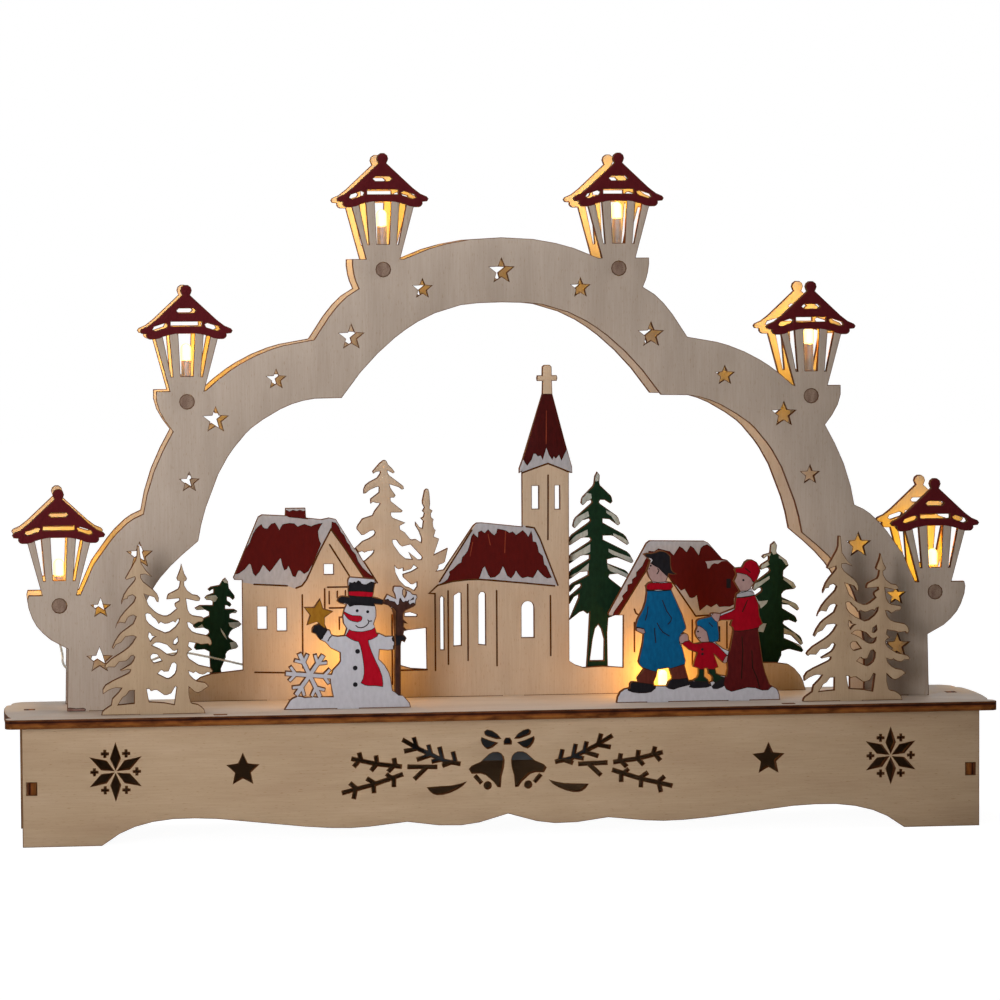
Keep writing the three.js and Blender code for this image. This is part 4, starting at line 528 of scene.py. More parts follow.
def rebuild(node, plane, finish, drawing=None, face="sanded_birch", back=None, grain="v", rim=None):
    """Builds a node's board again as one closed mesh with scorched rims, grooves and painted areas."""
    sizes = bpy.context.scene.light_arch_sizes
    drawing = drawing or Drawing()
    rim = (rim or sizes.rim_width) / MM
    rim_drop = sizes.rim_drop / MM
    groove_depth = sizes.groove_depth / MM
    loops, near, far = read_outlines(node, plane)
    flat, triangles = arrange(loops, [offset(loop, rim) for loop in loops], drawing)
    uses = {}
    for a, b, c in triangles.tolist():
        for edge in ((a, b), (b, c), (c, a)):
            uses[edge] = uses.get(edge, 0) + 1
    border = [edge for edge in uses if (edge[1], edge[0]) not in uses]
    on_border = np.zeros(len(flat), bool)
    on_border[[v for edge in border for v in edge]] = True

    used = np.unique(triangles).tolist()
    place = {old: new for new, old in enumerate(used)}
    count = len(used)
    front = []
    rear = []
    for old in used:
        u, v = flat[old]
        drop = rim_drop if on_border[old] else 0
        rear.append(plane.solid(u, v, far - drop))
        if not on_border[old] and any(near_line(flat[old], line) for line in drawing.centres):
            drop = groove_depth
        front.append(plane.solid(u, v, near + drop))

    names = [face, back or face, "scorched_rim", "laser_cut_edge"]
    names += sorted({colour for colour, _ in drawing.areas} - set(names))
    centres = flat[triangles].mean(axis=1)
    finishes = np.full(len(triangles), FACE)
    for colour, outline in drawing.areas:
        finishes[inside(centres, [outline])] = names.index(colour)
    banded = on_border[triangles].any(axis=1)
    finishes[banded] = RIM
    polygons = []
    slots = []
    spots = []
    for corners, slot, is_rim in zip(triangles.tolist(), finishes.tolist(), banded.tolist()):
        turned = corners[::-1]
        polygons += [[place[i] for i in corners], [place[i] + count for i in turned]]
        slots += [slot, RIM if is_rim else BACK]
        spots.extend(flat[i][::-1] if grain == "v" else flat[i] for i in corners + turned)
    along = 0.0
    thick = far - near
    for a, b in border:
        length = float(np.hypot(*(flat[b] - flat[a])))
        polygons.append([place[b], place[a], place[a] + count, place[b] + count])
        slots.append(CUT)
        spots.extend([(along + length, 0), (along, 0), (along, thick), (along + length, thick)])
        along += length

    mesh = bpy.data.meshes.new(node)
    mesh.from_pydata(front + rear, [], polygons)
    for slot_name in names:
        mesh.materials.append(MATERIALS[slot_name])
    mesh.polygons.foreach_set("material_index", slots)
    layer = mesh.uv_layers.new(name="board")
    layer.data.foreach_set("uv", [value for pair in spots for value in pair])
    mesh.update()
    smooth(mesh, BOARD_SHARP_ANGLE)
    piece = add_object(node + "_board", mesh)
    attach(piece, "arch_and_base")
    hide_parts(node)
    return piece


# Painted areas and engraved lines, in millimetres from each board's own zero

VILLAGE_SNOW = [
    [(-115, 53), (-111, 52.5), (-105, 51.4), (-99.5, 51.2), (-90.5, 50.6), (-87, 49.2), (-83.8, 50.4),
     (-81.8, 53), (-79.5, 58), (-76, 65.5), (-70.8, 75.2), (-70.5, 74.6), (-65, 67), (-60, 59),
     (-56.4, 53.8), (-51.2, 51), (-49.8, 50.3), (-54, 57), (-60, 66.7), (-65.3, 76), (-68.4, 79.8),
     (-70.2, 80.3), (-81, 84), (-89, 87), (-93, 87), (-102, 84), (-107, 79), (-115, 57)],
    [(-24, 49.7), (-17, 51.3), (-10, 52), (-5, 52), (0, 51.6), (16, 50), (29, 48.6), (30.6, 48.6), (29, 53),
     (22, 70), (19.7, 74.8), (16, 75.2), (14.5, 76), (-6.5, 78.5), (-6.5, 76.5), (-23.5, 50)],
    [(11.5, 98), (14.5, 99.2), (20, 101.2), (26, 103.2), (30, 101.6), (36.6, 98.7), (39, 98), (39, 102),
     (34, 112), (16, 112), (11.5, 103)],
    [(51.8, 34.1), (53.2, 35.1), (57.3, 35.1), (70, 55), (74.4, 61.2), (80.2, 51.8), (92.3, 33.9),
     (99.5, 34.5), (118.2, 35.5), (120, 39.5), (110.9, 58.6), (101.8, 69.5), (70.9, 69.5), (65.5, 63.2),
     (60, 50.5)],
]
VILLAGE_RED = [
    [(-115.5, 55.5), (-111.5, 56.4), (-109, 58.2), (-107, 60.6), (-106.2, 60.2), (-105.3, 56.4),
     (-104.2, 55.1), (-102.5, 57), (-101, 59.9), (-100.2, 59.5), (-99, 57.9), (-98, 56.9), (-97, 58),
     (-95.4, 60.1), (-93.3, 62.9), (-92.9, 62.5), (-92.4, 60), (-91.5, 57.5), (-90.5, 58), (-89.7, 59.6),
     (-89, 58), (-87.8, 54.8), (-86.7, 54.4), (-85.5, 57.1), (-84.5, 57.3), (-82.8, 55.8), (-81, 56.8),
     (-78.8, 60.5), (-75.3, 68.8), (-76, 70.2), (-76.4, 72.2), (-76.6, 74.4), (-75.6, 76.5), (-74.6, 77.9),
     (-76, 77.7), (-78, 77.2), (-79.5, 76.5), (-81, 77), (-82.5, 77.6), (-84.5, 76.9), (-85.5, 76.4),
     (-87, 77.9), (-89, 78.1), (-92, 77.6), (-92.9, 76.3), (-93.5, 74.9), (-94.6, 76.9), (-95.5, 78.3),
     (-97, 77.9), (-97.9, 77), (-98.8, 75.8), (-100, 75.9), (-100.9, 76.5), (-101.5, 77.8), (-102.5, 77),
     (-104, 75.6), (-105.1, 73.8), (-106.5, 70), (-115, 57)],
    [(-70.3, 78.4), (-68.8, 78), (-67.5, 76.4), (-66.5, 74), (-65, 72.4), (-63.8, 69.4), (-62.6, 68),
     (-61.8, 65.9), (-60, 63.9), (-59, 61), (-57, 58), (-54.6, 55.6), (-51.4, 53), (-52.5, 51.8),
     (-56.4, 53.8), (-60, 59), (-65, 67), (-70.6, 75)],
    [(-91.2, 81.8), (-91.2, 83.4), (-90.2, 83.8), (-89, 83.2), (-87.5, 83.9), (-85.8, 83.3), (-84.4, 83.9),
     (-83, 83.3), (-81, 84), (-81, 79.8), (-85, 80.4), (-89, 80.8)],
    [(-23.8, 49.7), (-17, 51.4), (-10, 52.1), (-5.5, 52.1), (-4.8, 53.2), (-3.5, 57), (-2.5, 57.9),
     (-1, 54.2), (0, 52.8), (2, 53), (4, 54.6), (5.5, 57.9), (6.1, 57), (7.5, 53.5), (9.2, 52.4),
     (10.5, 54), (11.4, 55.9), (12.6, 54), (13.5, 52.9), (14.5, 52.4), (16.5, 53), (19, 52.4), (20, 54),
     (21.1, 56.1), (22.2, 54.8), (24, 52.9), (25.5, 52.1), (27.3, 52.4), (26.4, 54.2), (25, 57.4),
     (24, 58.2), (23.4, 62), (21.6, 63.6), (21.1, 66.2), (20.4, 68.1), (19, 68.5), (18.8, 71), (18.3, 73.1),
     (17, 70.4), (16, 72), (14.5, 73.5), (13, 72.4), (11.5, 71.4), (10, 73), (8.5, 72.4), (7, 73.5),
     (4.5, 74.1), (3.2, 74.3), (2.8, 72.5), (1.8, 71.4), (0.5, 72.4), (-1, 74.1), (-2.5, 72.4), (-4, 73.6),
     (-5.3, 73), (-5.5, 70.4), (-7.5, 72.3), (-8.4, 71), (-9.2, 67.4), (-10, 65), (-11, 63.4), (-12.5, 62),
     (-13, 59.6), (-14.5, 58.9), (-16.5, 56.9), (-18.4, 55.6), (-18.1, 54.4), (-19, 52.4), (-20.4, 51.2)],
    [(54.8, 35.1), (55.5, 36.8), (58.2, 40.4), (59.6, 42.3), (59.1, 43.6), (61.4, 45.9), (61.6, 48.6),
     (63.6, 49.2), (63.6, 50.9), (65.5, 52.3), (65.5, 54.1), (68.2, 56.8), (69.5, 59.5), (70.9, 61.5),
     (71.1, 63.5), (73.6, 63.2), (75.5, 64.5), (79.1, 63.5), (80.5, 63.2), (82.3, 61.3), (83.6, 63.2),
     (85, 65.3), (86.4, 64.5), (88.2, 62.6), (90, 65.5), (91.4, 64.5), (92.7, 62.6), (93.8, 61.1),
     (94.7, 64.5), (95.9, 65.5), (97.5, 66), (99.3, 64.8), (101.5, 62.7), (103.8, 60.4), (105.9, 59.2),
     (108.6, 58.6), (111.8, 55), (118.2, 45), (119.1, 41.4), (110.9, 41.4), (109.6, 42.3), (109.5, 39.1),
     (107.7, 38.2), (105.5, 38.3), (102.9, 38.1), (101.8, 39.5), (99.2, 38.1), (97.3, 39.1), (94.1, 36.6),
     (93.5, 39.5), (92.8, 43.7), (91.8, 42.7), (90.5, 42.3), (89.5, 42.6), (88.2, 45), (87.3, 46.5),
     (85.6, 45.7), (80.2, 51.8), (74.4, 61.2), (70, 55), (57.3, 35.1)],
]
TOWER_RED = [(13, 103), (15, 105.1), (15.9, 103.4), (16.7, 102.4), (18.6, 105), (19.5, 107.6),
    (20.5, 107.6), (21.5, 106.4), (22.8, 106.8), (23.6, 104.9), (24.5, 108), (25.3, 110.3), (26.5, 107),
    (27.9, 104.9), (28.5, 106.4), (29.5, 105.4), (31, 107.1), (32, 104.4), (33.5, 107.6), (34.6, 109.6),
    (36, 110), (30, 128), (28, 133.9), (23.5, 133.9), (20, 125)]
# Short strokes where the roofs' red has worn thin
ROOF_SCRATCHES = [
    [(25.4, 126.5), (25.2, 111.8)], [(-1, 72), (0, 67.2)], [(-7.9, 68.5), (-9.1, 62.4)],
    [(6.8, 73.2), (6.4, 63.7)],
]
DORMER_WINDOWS = [
    [(106.2, 46.4), (108.2, 46.4), (108.2, 50.6), (106.2, 50.6)],
    [(100.6, 22.4), (103.4, 22.4), (103.4, 29.4), (100.6, 29.4)],
]
DORMER_SNOW = [(96.7, 58.5), (102.3, 58.9), (107, 58.7), (104.1, 58.5), (102.3, 57.3), (100.7, 57.7),
    (99.6, 57), (98.5, 55.3), (97.7, 55.4), (97.4, 57.3)]
# Engraved lines of the first house, the church with its tower, and the second house
VILLAGE_LINES = [
    [(-105, 51.4), (-90.2, 50.5)], [(-83.7, 46.5), (-83.7, 14)], [(-105, 12.5), (-89, 12)],
    [(-41, 12.2), (-28.5, 12.3)], [(-71.5, 68.5), (-62.8, 54.5)], [(-72.6, 49.6), (-63, 49.6)],
    [(-73.8, 49), (-73.8, 40)], [(-71.8, 47.8), (-71.8, 42.2)], [(-68.2, 47.8), (-68.2, 44.8)],
    [(-64.6, 48), (-64.6, 45.5)], [(-71.8, 40.4), (-64.8, 40.4)],
    [(-67.4, 30.8), (-67.4, 36.2), (-64.8, 36.4)], [(-44, 37), (-44, 6)],
    [(-86.5, 49.4), (-83.8, 50.4), (-81.8, 53), (-76, 65.5), (-70.8, 75.2), (-65, 67), (-56.4, 53.8),
     (-51.2, 51)],
    [(-50.4, 51.2), (-54, 57), (-60, 66.7), (-65.3, 76), (-67.4, 78.6)], [(-22.8, 51.2), (-8.2, 74)],
    [(-23.5, 49.8), (-27.4, 46.2), (-24.8, 46), (-24.8, 11.8)], [(-19, 47.2), (-19, 14.4)],
    [(-10.2, 50), (-10.2, 16)], [(2.7, 47), (2.7, 13.4)], [(26.8, 44.4), (26.8, 17.5)],
    [(-23.5, 49.7), (-17, 51.3), (-10, 52), (-5, 52), (0, 51.6), (16, 50), (28.8, 48.6)],
    [(16, 75.2), (19.7, 74.6), (22.2, 69.8), (30.2, 48.8)], [(26, 98), (25.8, 69.2)],
    [(14.5, 99.1), (20, 101.1), (26, 103.1), (30, 101.5), (36.6, 98.7)], [(64.5, 31.8), (64.5, 18.6)],
    [(64.5, 37.7), (65.2, 35.9), (66.4, 35)], [(90.7, 32.5), (90.7, 12.3)], [(106.4, 31.4), (106.4, 19.4)],
    [(57.3, 35.2), (70, 55), (74.4, 61.2), (80.2, 51.8), (92.3, 34.1), (99.5, 34.5), (110.5, 35.2)],
]
# The arch: above the tab of its left foot, a mark for the open end of the slot in front of it, its scorched
# edge with painted shade in the gap, in the arch's own place
FOOT_SLOT_SCORCH_AND_SHADE = [
    (-189.4, BOARD_TOP + 0.1), (-180.4, BOARD_TOP + 0.1), (-180.2, BOARD_TOP + 0.9),
    (-181.2, BOARD_TOP + 1.3), (-184.2, BOARD_TOP + 1.1), (-186.8, BOARD_TOP + 1.5),
    (-189.4, BOARD_TOP + 1.2),
]
# The lower edge of a lantern's painted roof, from its middle out, and the paint's reach, from its dowel
ROOF_FOOT = [(0, 29.4), (4, 29.4), (6, 29.1), (9.3, 28.2), (11.8, 27.3), (14, 26.9), (19, 26.9)]
ROOF_EAVES = 26.9
ROOF_TOP = 54.0
ROOF_REACH = 20.6
# Each painted area of a figure with its paint
SNOWMAN_AREAS = {
    "black hat": ("black_paint", [(0.6, 50.4), (0.8, 53.1), (1.1, 54.7), (2.2, 54.4), (3.2, 54.9),
        (3.9, 54.5), (4.8, 55.4), (5.7, 54.9), (6.1, 54.1), (7.1, 53.7), (8.2, 53.6), (9.3, 54.2),
        (10.3, 54.8), (11.4, 54.6), (12.1, 53.9), (12.6, 53.1), (12.3, 50.4), (11.9, 48.4), (13.7, 48.1),
        (15.4, 47.3), (16.7, 46.4), (16.6, 45.4), (15.7, 44.1), (14.1, 44.1), (11.9, 44.3), (8.6, 44.6),
        (5.8, 44.9), (3.1, 44.9), (1.1, 44.3), (0.3, 45.4), (-1.4, 45.9), (-3.5, 45.4), (-4.7, 46.4),
        (-3.9, 47.9), (-2.5, 48.8), (-1.1, 49.2), (0.6, 49.2)]),
    "hat band": ("scarf_red_paint", [(0.3, 50.8), (3.1, 50.9), (6.4, 50.8), (9.7, 50.4), (12.6, 50.2),
        (11.9, 48.4), (9.2, 48.3), (6.4, 48.5), (3.6, 48.7), (0.3, 49.2)]),
    "nose": ("scarf_red_paint", [(-2.5, 43.2), (-1.4, 42.1), (0.3, 41.1), (2.2, 40.3), (4.2, 40.2),
        (5.7, 40.1), (6.3, 39.6), (6.3, 38.8), (5.8, 38), (4.4, 37.5), (2.8, 37.8), (1.4, 38.2), (0.3, 39),
        (-0.6, 40), (-1.4, 41.2)]),
    "scarf": ("scarf_red_paint", [(-0.8, 31.7), (0.2, 33.2), (0.7, 34.3), (1.9, 33.7), (4.2, 33.3),
        (6.4, 33.2), (8.6, 33.6), (10.6, 34.1), (11.8, 35), (13.6, 33.9), (13.2, 31.8), (12.8, 31.2),
        (11.4, 30.4), (10, 29.8), (8.9, 29.6), (9.3, 27.5), (10.4, 24.3), (12.1, 20.4), (13.7, 17.1),
        (14.8, 13.9), (15.2, 10.8), (15.1, 9.3), (11.9, 9.8), (9.2, 9.8), (7.5, 10.1), (5.7, 11.1),
        (6.6, 12.8), (7.1, 15), (7.1, 17.8), (6.7, 21.1), (6.2, 24.4), (5.6, 27.1), (4.8, 29), (3.1, 29.4),
        (1.4, 30.2), (0.2, 31)]),
    "left glove": ("black_paint", [(-14.6, 36.1), (-14.2, 37.2), (-11.4, 37.5), (-8.9, 37.7), (-8.5, 36.6),
        (-8.7, 34.6), (-9.4, 33.2), (-10.3, 31.9), (-10.9, 30.6), (-11.9, 30.2), (-12.8, 31.6),
        (-14.2, 32.5), (-15.8, 32.2), (-15.3, 34.2)]),
    "right glove": ("black_paint", [(19.3, 30.1), (19.9, 31.3), (21.1, 31.8), (22.2, 31.6), (23.6, 31.4),
        (25, 31.3), (25.8, 29.9), (25.2, 28), (24.3, 27), (22.2, 26.6), (20.9, 27.1), (20.2, 28.6),
        (19.5, 29.3)]),
    "broomstick": ("broom_brown_paint", [(19.8, 27), (23.6, 27.2), (23.6, 5.3), (22, 5.4), (20.2, 7),
        (19.7, 11), (20, 17.8)]),
    "broom top": ("broom_brown_paint", [(21.3, 31.4), (21.3, 41.9), (20.3, 43.4), (18.2, 44.4), (15, 45),
        (15.5, 46.8), (17.7, 47.2), (18.2, 46.5), (20.5, 46), (21.5, 44.6), (22, 44.5), (22.4, 45),
        (22.75, 47.2), (23.1, 47.5), (23.75, 46.2), (24.5, 45.6), (25.2, 46.2), (26.2, 46.1), (26.8, 46.8),
        (26.5, 45.5), (27.2, 44.6), (28, 45.2), (29, 45.4), (29.8, 43.6), (27.6, 42.8), (25.6, 41.8),
        (24.8, 40.5), (24.7, 38.6), (26.9, 36.2), (25.2, 34.9), (26.6, 33.2), (24.8, 31.4)]),
    "broom twig": ("broom_brown_paint", [(27.2, 46.5), (28.8, 47.8), (28.8, 47)]),
}
BARE_STICK = [(19.5, 31), (21.5, 31), (21.5, 42), (20.2, 43.6), (19, 43.6)]
SNOWMAN_LINES = {
    "mouth": [(3.6, 36), (4.4, 35.3), (5.8, 35), (7.2, 35.3), (8.3, 36), (9.1, 36.9), (9.3, 37.9)],
    "mouth end": [(8.8, 38.4), (9.3, 37.8), (10.6, 37.9)],
    "cuff": [(-8.5, 29.4), (-7.8, 30.9), (-6.7, 31.9)],
}
# Black dots with their radius: the eyes first, then the buttons
SNOWMAN_DOTS = [((4.25, 42.4), 0.68), ((8.8, 41.9), 0.68), ((4.3, 24.8), 1.05), ((3.2, 17.6), 1.05),
                ((3.2, 10.4), 1.05)]
FAMILY_AREAS = {
    "man hat": ("black_paint", [(-24.9, 64.7), (-23.4, 65.6), (-20.2, 65), (-18.4, 65.3), (-16.8, 66.9),
        (-14.6, 66.6), (-12.4, 65.3), (-11.2, 63.1), (-11.2, 58.4), (-10.1, 57.1), (-8.4, 55.9),
        (-10.9, 55.8), (-12.4, 55), (-14, 55.3), (-15.6, 56.9), (-17.4, 58.8), (-19.6, 60), (-20.9, 60.9),
        (-19.9, 62.1), (-20.6, 63.1), (-22.8, 63.6)]),
    "man face": ("skin_paint", [(-22.8, 61.6), (-20.9, 60.9), (-19.6, 60), (-17.4, 58.8), (-15.6, 56.9),
        (-14, 55.3), (-12.8, 54.4), (-13.7, 53.1), (-15.2, 52.6), (-17.8, 52.5), (-20.2, 53), (-22.1, 54.1),
        (-23.4, 56.2)]),
    "man collar": ("jacket_red_paint", [(-23.4, 51.4), (-22.1, 52.1), (-19.9, 52.4), (-16.5, 52.1),
        (-13.4, 52.2), (-11.2, 52.1), (-10.5, 50.6), (-11, 49.4), (-13.4, 49.1), (-17.8, 49.3),
        (-20.9, 49.2), (-22.8, 49.5), (-23.5, 50.5)]),
    "man coat": ("coat_blue_paint", [(-22.8, 48.8), (-17.8, 48.7), (-13.4, 48.9), (-10.2, 49.1), (-9, 46.2),
        (-7.8, 42.5), (-6.2, 38.8), (-4.9, 35), (-4.5, 32.2), (-6.4, 31), (-8, 29.5), (-8.4, 27.5),
        (-8.4, 25.5), (-7, 23.1), (-5.6, 20), (-4.6, 17.5), (-6, 16.5), (-9, 15.6), (-12.1, 14.7),
        (-14.6, 14.3), (-16.5, 14), (-18.4, 13.4), (-20.2, 13.7), (-22.8, 14.6), (-25.1, 15.5),
        (-26.8, 16.9), (-27, 19.4), (-26.2, 21.9), (-25.4, 25.6), (-24.8, 28.4), (-24.3, 31.2),
        (-23.9, 32.2), (-26.5, 33), (-28.1, 33.2), (-27.8, 36.2), (-25.9, 38.8), (-24.5, 41.9),
        (-23.5, 45.6)]),
    "man hand": ("skin_paint", [(-28.7, 31.2), (-27.4, 32.8), (-26.2, 32.8), (-23.9, 32.1), (-23.4, 30.5),
        (-25.6, 29.7), (-28.1, 30.3)]),
    "holding hands": ("skin_paint", [(-8.5, 27), (-8.4, 28.4), (-7.1, 29.6), (-5.6, 30.5), (-4, 29.7),
        (-2.4, 28.1), (-3.2, 26.8), (-5.8, 26.5), (-7.1, 25.5), (-8, 25.6)]),
    "man trousers": ("brown_paint", [(-25.1, 15.5), (-22.8, 14.6), (-20.2, 13.7), (-18.2, 13.4),
        (-17.4, 11.9), (-18.5, 9.4), (-19.3, 7.2), (-22.1, 8.1), (-24.6, 8.5), (-26.8, 8.8), (-28.1, 10),
        (-26.5, 11.9)]),
    "man trousers front": ("brown_paint", [(-13.1, 14.5), (-9, 15.6), (-6, 16.5), (-4, 15.6), (-3.4, 10.2),
        (-6.5, 10), (-9, 9.7), (-11.8, 9.9), (-13.4, 11.9)]),
    "man shoe": ("black_paint", [(-31.2, 7.2), (-30.2, 8.8), (-26.6, 8.8), (-24.6, 8.5), (-22.1, 8.1),
        (-19, 7.5), (-19, 6.2), (-20.9, 4.6), (-23.4, 4.2), (-26.5, 4.2), (-29, 4.6), (-31.2, 5.5)]),
    "man front shoe": ("black_paint", [(-14.6, 8.8), (-12, 9.9), (-8.4, 9.9), (-3.7, 10.4), (-2.4, 9.4),
        (-2.2, 8.2), (-4, 7.4), (-6.5, 6.8), (-9, 6.2), (-10.9, 5.5), (-13.1, 5.9), (-14.5, 6.9)]),
    "child hat": ("coat_blue_paint", [(-1.2, 35), (0.2, 36.8), (4.1, 37.2), (6.3, 37.8), (8.5, 36.8),
        (9.9, 33.8), (10.2, 31.2), (9.9, 28.8), (8.5, 26.4), (6.6, 26), (4.8, 26.1), (4.4, 28.1),
        (3.8, 30.5), (2.2, 32), (0.7, 33), (-1.5, 33.5)]),
    "child face": ("skin_paint", [(-2.2, 33), (0.7, 33), (2.2, 32), (3.8, 30.5), (4.4, 28.2), (4.8, 26.1),
        (2.2, 26), (0.5, 26.1), (-0.9, 27.2), (-2.2, 29.1)]),
    "child coat": ("jacket_red_paint", [(-7.8, 25), (-5.8, 26.4), (-4, 26.6), (-2.1, 25.5), (-0.2, 25.2),
        (1.6, 25.8), (4.8, 25.9), (6.8, 25.6), (9.1, 23.9), (11.6, 21.1), (13, 19.8), (12.1, 16.9),
        (10.4, 17.2), (7.9, 19.4), (7.4, 19.1), (8.5, 16.2), (10.1, 13.9), (6.6, 13.9), (3.5, 14),
        (0.4, 14.1), (-3.7, 14.4), (-1.8, 17.5), (-0.9, 20.5), (-1.5, 21.1), (-3.5, 21.8), (-5.4, 22.9)]),
    "child hand": ("skin_paint", [(12.1, 19.4), (13, 20), (14.2, 18.8), (13.5, 15.9), (11.6, 16.2),
        (10.9, 17.2), (11.8, 18.8)]),
    "child leg": ("fir_green_paint", [(-0.6, 14.1), (3.2, 14), (3.6, 11.9), (3.6, 9.7), (5.1, 8.4),
        (2.2, 8.5), (-0.9, 8.8), (-2, 9.1), (-0.6, 10.3)]),
    "child front leg": ("fir_green_paint", [(3.6, 14), (7.9, 13.9), (8.5, 12.5), (9.9, 10.8), (12.2, 10.1),
        (9.9, 9.2), (7.6, 8.1), (5.7, 9.4), (4.4, 11.2)]),
    "child shoe": ("black_paint", [(-4, 6.4), (-2.9, 8.6), (-0.9, 8.8), (2.2, 8.5), (5.1, 8.6), (5.7, 6.8),
        (3.5, 6.1), (0.4, 6), (-2.1, 6)]),
    "child front shoe": ("black_paint", [(6, 6.4), (7.6, 8.1), (9.9, 9.4), (11.6, 10.2), (12.8, 9.4),
        (12.4, 7.5), (10.5, 6.1), (8.5, 5.4), (6.6, 5.5)]),
    "woman hat": ("jacket_red_paint", [(15.7, 56.6), (16.3, 58.6), (18.8, 59.1), (19.8, 60.8), (21, 62),
        (22.9, 62.6), (25.4, 62.2), (27.4, 60.8), (28.5, 58.4), (28, 55.3), (26.6, 53.1), (25.5, 51.6),
        (24.1, 52.4), (23.5, 53.6), (21.6, 55.2), (19.1, 55.9), (16.9, 56.2)]),
    "woman face": ("skin_paint", [(15.1, 56.2), (16.9, 56.2), (19.1, 55.9), (21.6, 55.2), (23.5, 53.6),
        (24.2, 52.2), (25.1, 50.9), (23.8, 49.6), (21.8, 48.2), (19.1, 48), (16.9, 48.4), (15.1, 51.2)]),
    "woman collar": ("collar_paint", [(16.3, 46.2), (17.6, 47), (20.1, 47.6), (22.2, 48.1), (24.5, 47.5),
        (25.4, 46.4), (22.9, 45.9), (19.1, 45.4), (16.3, 45.4)]),
    "woman jacket": ("jacket_red_paint", [(16.3, 45.1), (19.8, 45.2), (22.9, 45.6), (25.1, 46.1),
        (26.6, 43.8), (28, 40), (29.1, 36.9), (30.4, 33.2), (28, 32.4), (24.8, 31.5), (21, 30.8),
        (17.9, 30.6), (14.1, 30.8), (13.6, 32.5), (14.8, 34.7), (12.9, 34.6), (9.8, 34.2), (8.5, 34.5),
        (8.8, 36.8), (11.6, 38), (14.8, 39.2), (16.3, 40.2), (16.6, 43.1)]),
    "helping hand": ("skin_paint", [(5.7, 37.4), (7.2, 39.1), (10.1, 39.1), (9.6, 36.9), (9, 34.4),
        (7.6, 35.2)]),
    "woman cuff": ("collar_paint", [(26.3, 31.8), (27.9, 32.4), (31, 33.2), (31, 31.2), (27.9, 29.4),
        (26.6, 30.5)]),
    "skirt": ("plum_paint", [(15.1, 30.8), (17.9, 30.5), (21, 30.7), (24.8, 31.4), (26.9, 31.9), (28, 28.8),
        (28.6, 21.9), (29.2, 16.9), (30.5, 12.5), (32.1, 8.8), (32.9, 6.2), (31, 4.5), (28.5, 4.4),
        (25.4, 5.5), (21.6, 5.8), (18.5, 5), (14.8, 4.1), (12.4, 5.1), (11.3, 7.5), (12.1, 12.5),
        (13, 18.8), (14.2, 25)]),
}
FAMILY_LINES = {
    "coat fold 1": [(-15.9, 44.7), (-14, 40), (-11.8, 36.8), (-12.2, 35.3), (-13.4, 34.1)],
    "coat fold 2": [(-18.2, 34.7), (-17.1, 32.5), (-15.6, 30.6), (-12.8, 28.9)],
    "coat fold 3": [(-19.3, 32.5), (-19.2, 29.4), (-18.8, 26.1)],
    "coat fold 4": [(-22.2, 41.9), (-22.6, 38.8), (-23.4, 36)],
    "cuff": [(-28.1, 32.2), (-26.8, 32.9), (-23.9, 32.2)],
    "ear": [(-17.9, 58.5), (-17.3, 57.7), (-17.7, 56.9), (-18.2, 56.2)],
    "child mouth": [(-0.1, 28.1), (0.4, 27.8), (1, 28)],
    "hat fold": [(21, 58), (23.2, 56.2)],
    "sleeve fold": [(21.9, 44.1), (21, 41.9), (19.6, 39)],
    "skirt fold 1": [(19.4, 28.1), (19.8, 21.9), (19.5, 15.6), (19.1, 9.7)],
    "skirt fold 2": [(23.8, 21.9), (24.1, 14.4), (26, 10), (27.2, 5.5)],
    "child hat fold": [(4.8, 34.5), (6.4, 32.8)],
    "collar low": [(-22.8, 49.1), (-17.8, 48.7), (-13.4, 48.9), (-10.9, 49.2)],
}
FAMILY_DOTS = [((20.1, 52.9), 0.5), ((-0.1, 30.7), 0.42), ((-20.9, 59.85), 0.45), ((-21.6, 58.5), 0.25),
               ((1.8, 22.8), 0.6), ((1.8, 20.8), 0.6)]
# Snow on the green trees, from the middle of each tree
CENTER_TREE_SNOW = [
    [(-3, 94.8), (2.8, 94.8), (2.8, 100.8), (-3, 100.8)],
    [(-7.2, 83.3), (-7.2, 85.8), (-4.2, 89.6), (-2.2, 89.2), (-2, 87.3), (-4.5, 85), (-5.3, 83.8)],
    [(-11.2, 73.3), (-11.2, 75), (-8.8, 78.8), (-3.7, 81.5), (-3.2, 79.2), (-5.9, 77.9), (-8, 75.8),
     (-9, 73.7)],
    [(-13, 66.7), (-11.8, 68.3), (-9.2, 70.8), (-4, 73.3), (-3.8, 70.8), (-7.2, 69.2), (-9.2, 67.9),
     (-11.3, 65.8)],
    [(-13, 60), (-11.8, 61.7), (-7.2, 64.2), (-2.8, 66.7), (-2.8, 63.3), (-6.3, 61.7), (-9.7, 59.8),
     (-13, 59.2)],
    [(-12.2, 52.5), (-8, 54.6), (-3.4, 58.3), (-3.7, 55), (-6.3, 53.3), (-9.7, 52.1)],
    [(4.5, 81.7), (7.4, 80.4), (10.3, 77.9), (11.2, 74.6), (9.1, 74.6), (8.5, 76.7), (6.6, 79.2),
     (4.5, 80.7)],
    [(7.7, 71.5), (12, 69.6), (15, 67.1), (14.5, 65.4), (11.6, 65.7), (10.5, 67.5), (9.1, 69.6),
     (7.7, 70.4)],
    [(5.5, 64.6), (10.3, 62.5), (17, 60), (17, 57.1), (13.7, 59.2), (10.3, 60.8), (7, 62.1), (5.5, 63.3)],
    [(4.9, 57.7), (10.3, 55), (15.5, 52.5), (13.7, 51.7), (10.3, 52.9), (6.2, 54.6), (5.2, 55.8)],
]
